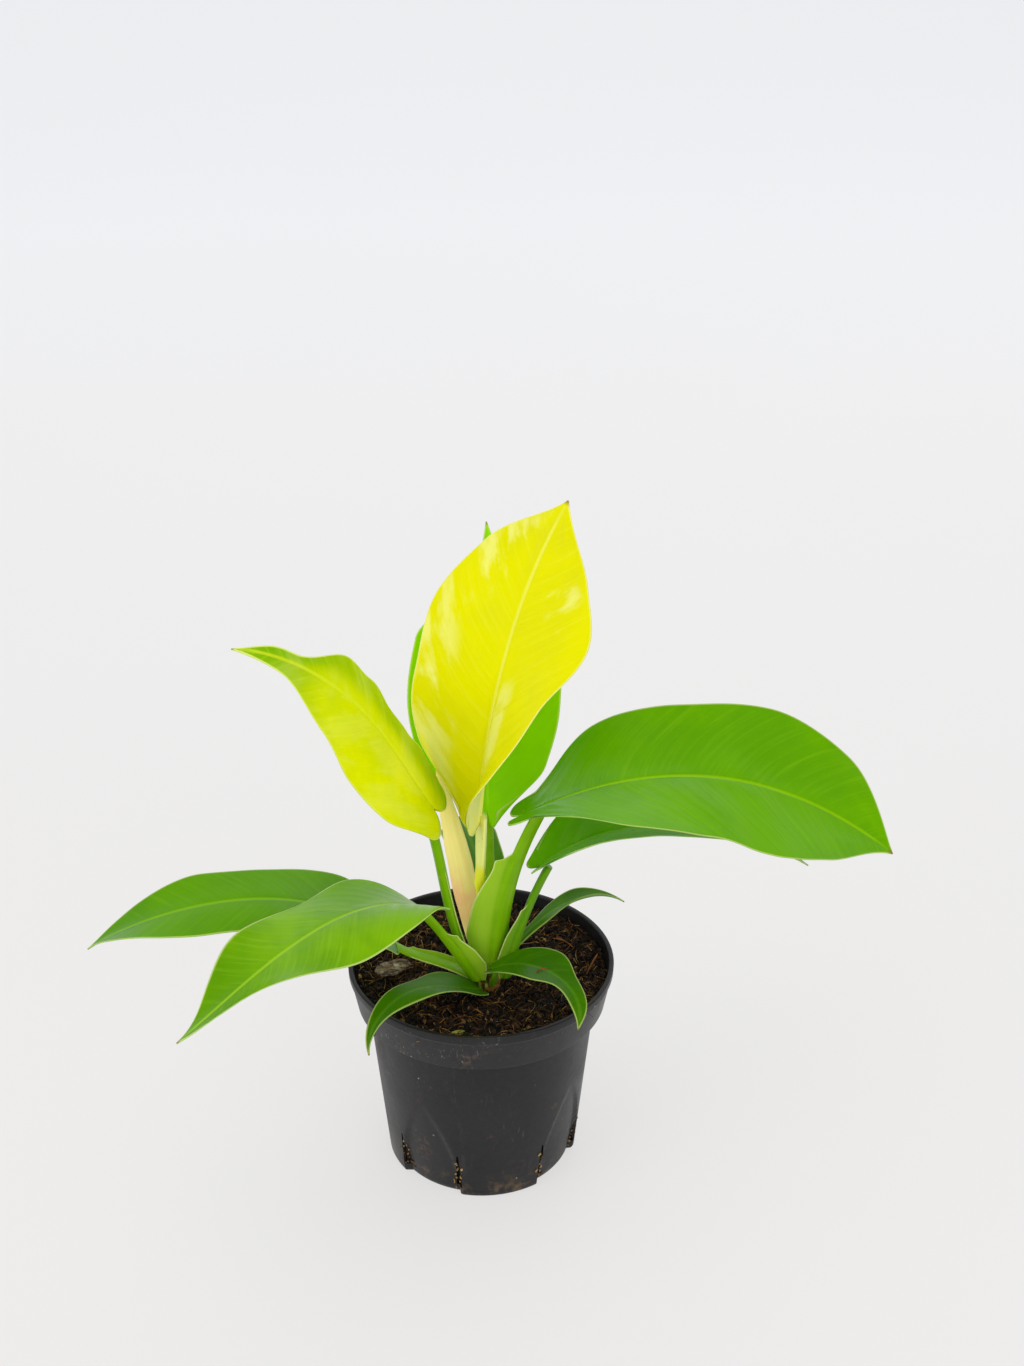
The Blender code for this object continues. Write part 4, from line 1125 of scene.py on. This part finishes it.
def dress_slits(crumbs):
    """Dry crumbs caught round the drainage slits."""
    points, faces = [], []
    for azimuth in slit_azimuths():
        for rise in range(6):
            z = 0.002 + rise * 0.0036
            for turn in (-1, 0, 1):
                a = azimuth + turn * (0.085 - 0.010 * rise)
                r = wall_radius(z) - recess(z, math.degrees(a)) + 0.0001
                points.append((r * math.cos(a), r * math.sin(a), z))
        first = len(points) - 18
        for rise in range(5):
            for turn in (0, 1):
                a = first + rise * 3 + turn
                faces.append((a, a + 1, a + 4, a + 3))
    dry = crumb_finish("dry_crumbs", (90, 66, 38), (164, 134, 84), (200, 176, 124))
    crumbs.run("slit_crumbs", new_mesh("slit_ground", points, faces), "bark", dry,
               Density=160000.0, Smallest=0.0002, Largest=0.0007, Seed=5)


def strand(name, way, radius, finish, slot):
    """A thin loose piece along a bent line, in mm."""
    ends = [np.array(p, float) for p in way]
    rings = []
    for t in np.linspace(0, 1, 12):
        centre = (1 - t) ** 2 * ends[0] + 2 * t * (1 - t) * ends[1] + t * t * ends[2]
        r = radius * (0.35 + 0.65 * math.sin(math.pi * min(0.94, max(0.06, t))))
        ring = [centre + r * np.array([math.cos(a), 0.6 * math.sin(a), 0.8 * math.sin(a)])
                for a in np.linspace(0, 2 * math.pi, 9)[:-1]]
        rings.append(place(ring))
    new_piece(name, *tube(rings), slot, finish)


def dress_loose():
    """The few single bits that lie on the soil, the leaf and the stem."""
    rust = crumb_finish("rust_needle", (96, 54, 20), (150, 88, 34), (190, 130, 64))
    bract = crumb_finish("green_bit", (90, 96, 20), (130, 140, 40), (170, 176, 80))
    high = DATUM_SOIL
    strand("loose_needle", [(47.6, -6.6, high + 2.2), (50.5, 0, high + 4.2), (53.0, 6.0, high + 4)],
           0.5, rust, "bark")
    strand("second_needle", [(33, 22, high + 2), (38, 20, high + 3.6), (42, 15, high + 2)],
           0.4, rust, "bark")
    strand("green_bit", [(-13, -49, high + 1.6), (-10, -49.5, high + 2.6), (-7.5, -48, high + 1.6)],
           0.8, bract, "bark")
    leaf = LEAVES["leaf_10"]
    way = [leaf_surface(leaf, np.array([u]), np.array([v])) for u, v in
           ((0.406, -0.48), (0.385, -0.17), (0.419, 0.03))]
    strand("leaf_fibre", [spot[0][0] + spot[1][0] * 0.9 for spot in way], 0.4, rust, "bark")
    strand("stalk_stub", [(-0.5, -18.9, high + 3), (-0.6, -19.6, high + 6), (-1.2, -20.2, high + 9)],
           0.9, bract, "stem")
    strand("second_stub", [(2.2, -18.4, high + 2), (2.4, -19.0, high + 5), (2.0, -19.6, high + 8)],
           0.8, bract, "stem")


# ------------------------------------------------------------------ build
# body, deep, pale, rib, edge and underside colours, then what differs from a plain leaf
BLADES = {
    "yellow": leaf_finish("yellow_leaf", (229, 226, 0), (216, 214, 0), (238, 236, 60),
                          (240, 238, 90), (244, 242, 140), (236, 236, 130), streaks=0.22,
                          shine=0.16, patches=0.6, hairs=0.05,
                          spots=((0.48, 0.95, 0.20, 0.45), (0.24, 0.85, 0.24, 0.45),
                                 (0.78, 0.75, 0.20, 0.60), (0.72, -0.6, 0.10, 0.40),
                                 (0.30, -0.2, 0.18, 0.25))),
    "lime": leaf_finish("lime_leaf", (236, 242, 0), (112, 172, 0), (236, 242, 40), (222, 236, 40),
                        (232, 240, 120), (206, 222, 90), gloss=0.34, streaks=0.22, shine=0.10,
                        midrib_share=0.6, patches=0.15, tip_tone=0.9, hairs=0.05, mottle=0.25,
                        right_tone=0.6),
    "green": leaf_finish("green_leaf", (100, 168, 0), (80, 150, 0), (124, 184, 10),
                         (146, 200, 10), (196, 214, 120), (150, 190, 90), gloss=0.30),
    # a lighter copy of the green finish: the body is lifted to paint in light shining through this
    # leaf, which sits in shade
    "bright": leaf_finish("bright_leaf", (150, 226, 0), (128, 206, 0), (168, 234, 10),
                          (176, 236, 40), (206, 226, 120), (160, 220, 80), streaks=0.3,
                          shine=0.2, midrib_share=0.6),
    "fresh": leaf_finish("fresh_leaf", (124, 178, 4), (74, 138, 0), (140, 192, 40),
                         (158, 204, 40), (204, 220, 130), (160, 196, 100), streaks=0.4,
                         tip_tone=0.6),
    "grass": leaf_finish("grass_leaf", (88, 150, 0), (68, 132, 0), (110, 168, 20), (132, 186, 30),
                         (190, 210, 110), (140, 184, 90), midrib_share=0.6),
    # body lifted above the leaf's own green: painted light against the shade this leaf sits in
    "moss": leaf_finish("moss_leaf", (106, 180, 0), (84, 160, 0), (120, 178, 40), (130, 186, 50),
                        (190, 206, 120), (150, 186, 110), midrib_share=0.5),
    "dark": leaf_finish("dark_leaf", (68, 122, 0), (40, 90, 0), (84, 134, 20), (98, 150, 30),
                        (176, 190, 100), (110, 150, 80), gloss=0.36, shine=0.11,
                        midrib_share=0.35),
}
# body, deep, pale, wing and foot colours, and that of the head where it differs
STALKS = {
    "yellow": stalk_finish("yellow_stalk", (240, 238, 40), (222, 226, 10), (246, 244, 130),
                           (244, 244, 150), (214, 222, 60), head=(240, 240, 136)),
    "green": stalk_finish("green_stalk", (118, 174, 2), (96, 152, 0), (152, 196, 30),
                          (160, 198, 50), (140, 188, 20)),
    "dark": stalk_finish("dark_stalk", (92, 150, 2), (66, 122, 0), (116, 166, 20),
                         (130, 176, 40), (98, 146, 10)),
}
# blade finish, stalk finish, blade slot, stalk slot
LOOK = {"leaf_01": ("yellow", "yellow", "leaf_yellow", "stalk_yellow"),
        "leaf_02": ("lime", "green", "leaf_lime", "stalk_green"),
        "leaf_03": ("green", "green", "leaf_green", "stalk_green"),
        "leaf_04": ("bright", "green", "leaf_green", "stalk_green"),
        "leaf_05": ("fresh", "green", "leaf_green", "stalk_green"),
        "leaf_06": ("moss", "dark", "leaf_dark", "stalk_green"),
        "leaf_07": ("grass", "green", "leaf_green", "stalk_green")}
OLD_LOOK = ("dark", "dark", "leaf_dark", "stalk_green")

loose_crumbs = crumbs_recipe()
make_pot(pot_finish())
make_soil(soil_finish())
dress_soil(loose_crumbs)
dress_slits(loose_crumbs)
dress_loose()
make_stem(stem_finish())
make_cataphyll(papery_finish())
make_chip(bark_finish())
for number, (leaf_name, leaf) in enumerate(LEAVES.items()):
    blade_look, stalk_look, blade_slot, stalk_slot = LOOK.get(leaf_name, OLD_LOOK)
    make_blade(leaf_name + "_blade", leaf, BLADES[blade_look], blade_slot, number + 1)
    make_stalk(leaf_name + "_stalk", leaf, STALKS[stalk_look], stalk_slot)


# ------------------------------------------------------------------ stage
def make_floor():
    """A pale floor that sweeps up into a backdrop; its finish glows with painted light, brighter and
    bluer towards the back.
    """
    points, faces = [], []
    run = [(-2.2, 0.0), (0.6, 0.0), (1.6, 0.0)]
    run += [(1.6 + 1.4 * math.sin(a), 1.4 * (1 - math.cos(a)))
            for a in np.linspace(0.08, math.pi / 2, 20)]
    run += [(3.0, 4.0)]
    for y, z in run:
        points += [(-4.0, y, z), (4.0, y, z)]
    for i in range(len(run) - 1):
        faces.append((2 * i, 2 * i + 1, 2 * i + 3, 2 * i + 2))
    mesh = new_mesh("floor", points, faces)
    mesh.polygons.foreach_set("use_smooth", [True] * len(mesh.polygons))
    mesh.materials.append(floor_finish())
    new_object("floor", mesh)


def soft_light(name, stand, aim, size, power):
    """A square lamp at stand, turned to aim."""
    light = bpy.data.lights.new(name, "AREA")
    light.shape, light.size, light.energy = "SQUARE", size, power
    lamp = new_object(name, light)
    lamp.location = stand
    lamp.rotation_euler = (Vector(aim) - Vector(stand)).to_track_quat("-Z", "Y").to_euler()


make_floor()
world = bpy.data.worlds.new("studio")
bpy.context.scene.world = world
world.use_nodes = True
sky = world.node_tree.nodes["Background"].inputs
sky["Color"].default_value = (0.97, 0.985, 1.0, 1.0)
sky["Strength"].default_value = 0.74
soft_light("top_light", (-0.3, -0.2, 1.7), (0, 0, 0.1), 1.6, 4.0)
soft_light("left_light", (-1.5, -0.9, 0.7), (0, 0, 0.15), 1.2, 8.0)
soft_light("front_light", (0.9, -1.5, 0.8), (0, 0, 0.15), 1.2, 6.0)
soft_light("back_light", (0.7, 1.3, 1.4), (0, 0, 0.15), 1.2, 3.0)

camera = bpy.data.cameras.new("camera")
camera.sensor_width, camera.lens, camera.clip_end = 36.0, CAMERA_LENS, 50.0
eye = new_object("camera", camera)
eye.location = CAMERA_PLACE
eye.rotation_euler = (math.radians(90 - CAMERA_DIP), 0.0, math.radians(-CAMERA_TURN))
bpy.context.scene.camera = eye
bpy.context.scene.view_settings.view_transform = "Standard"
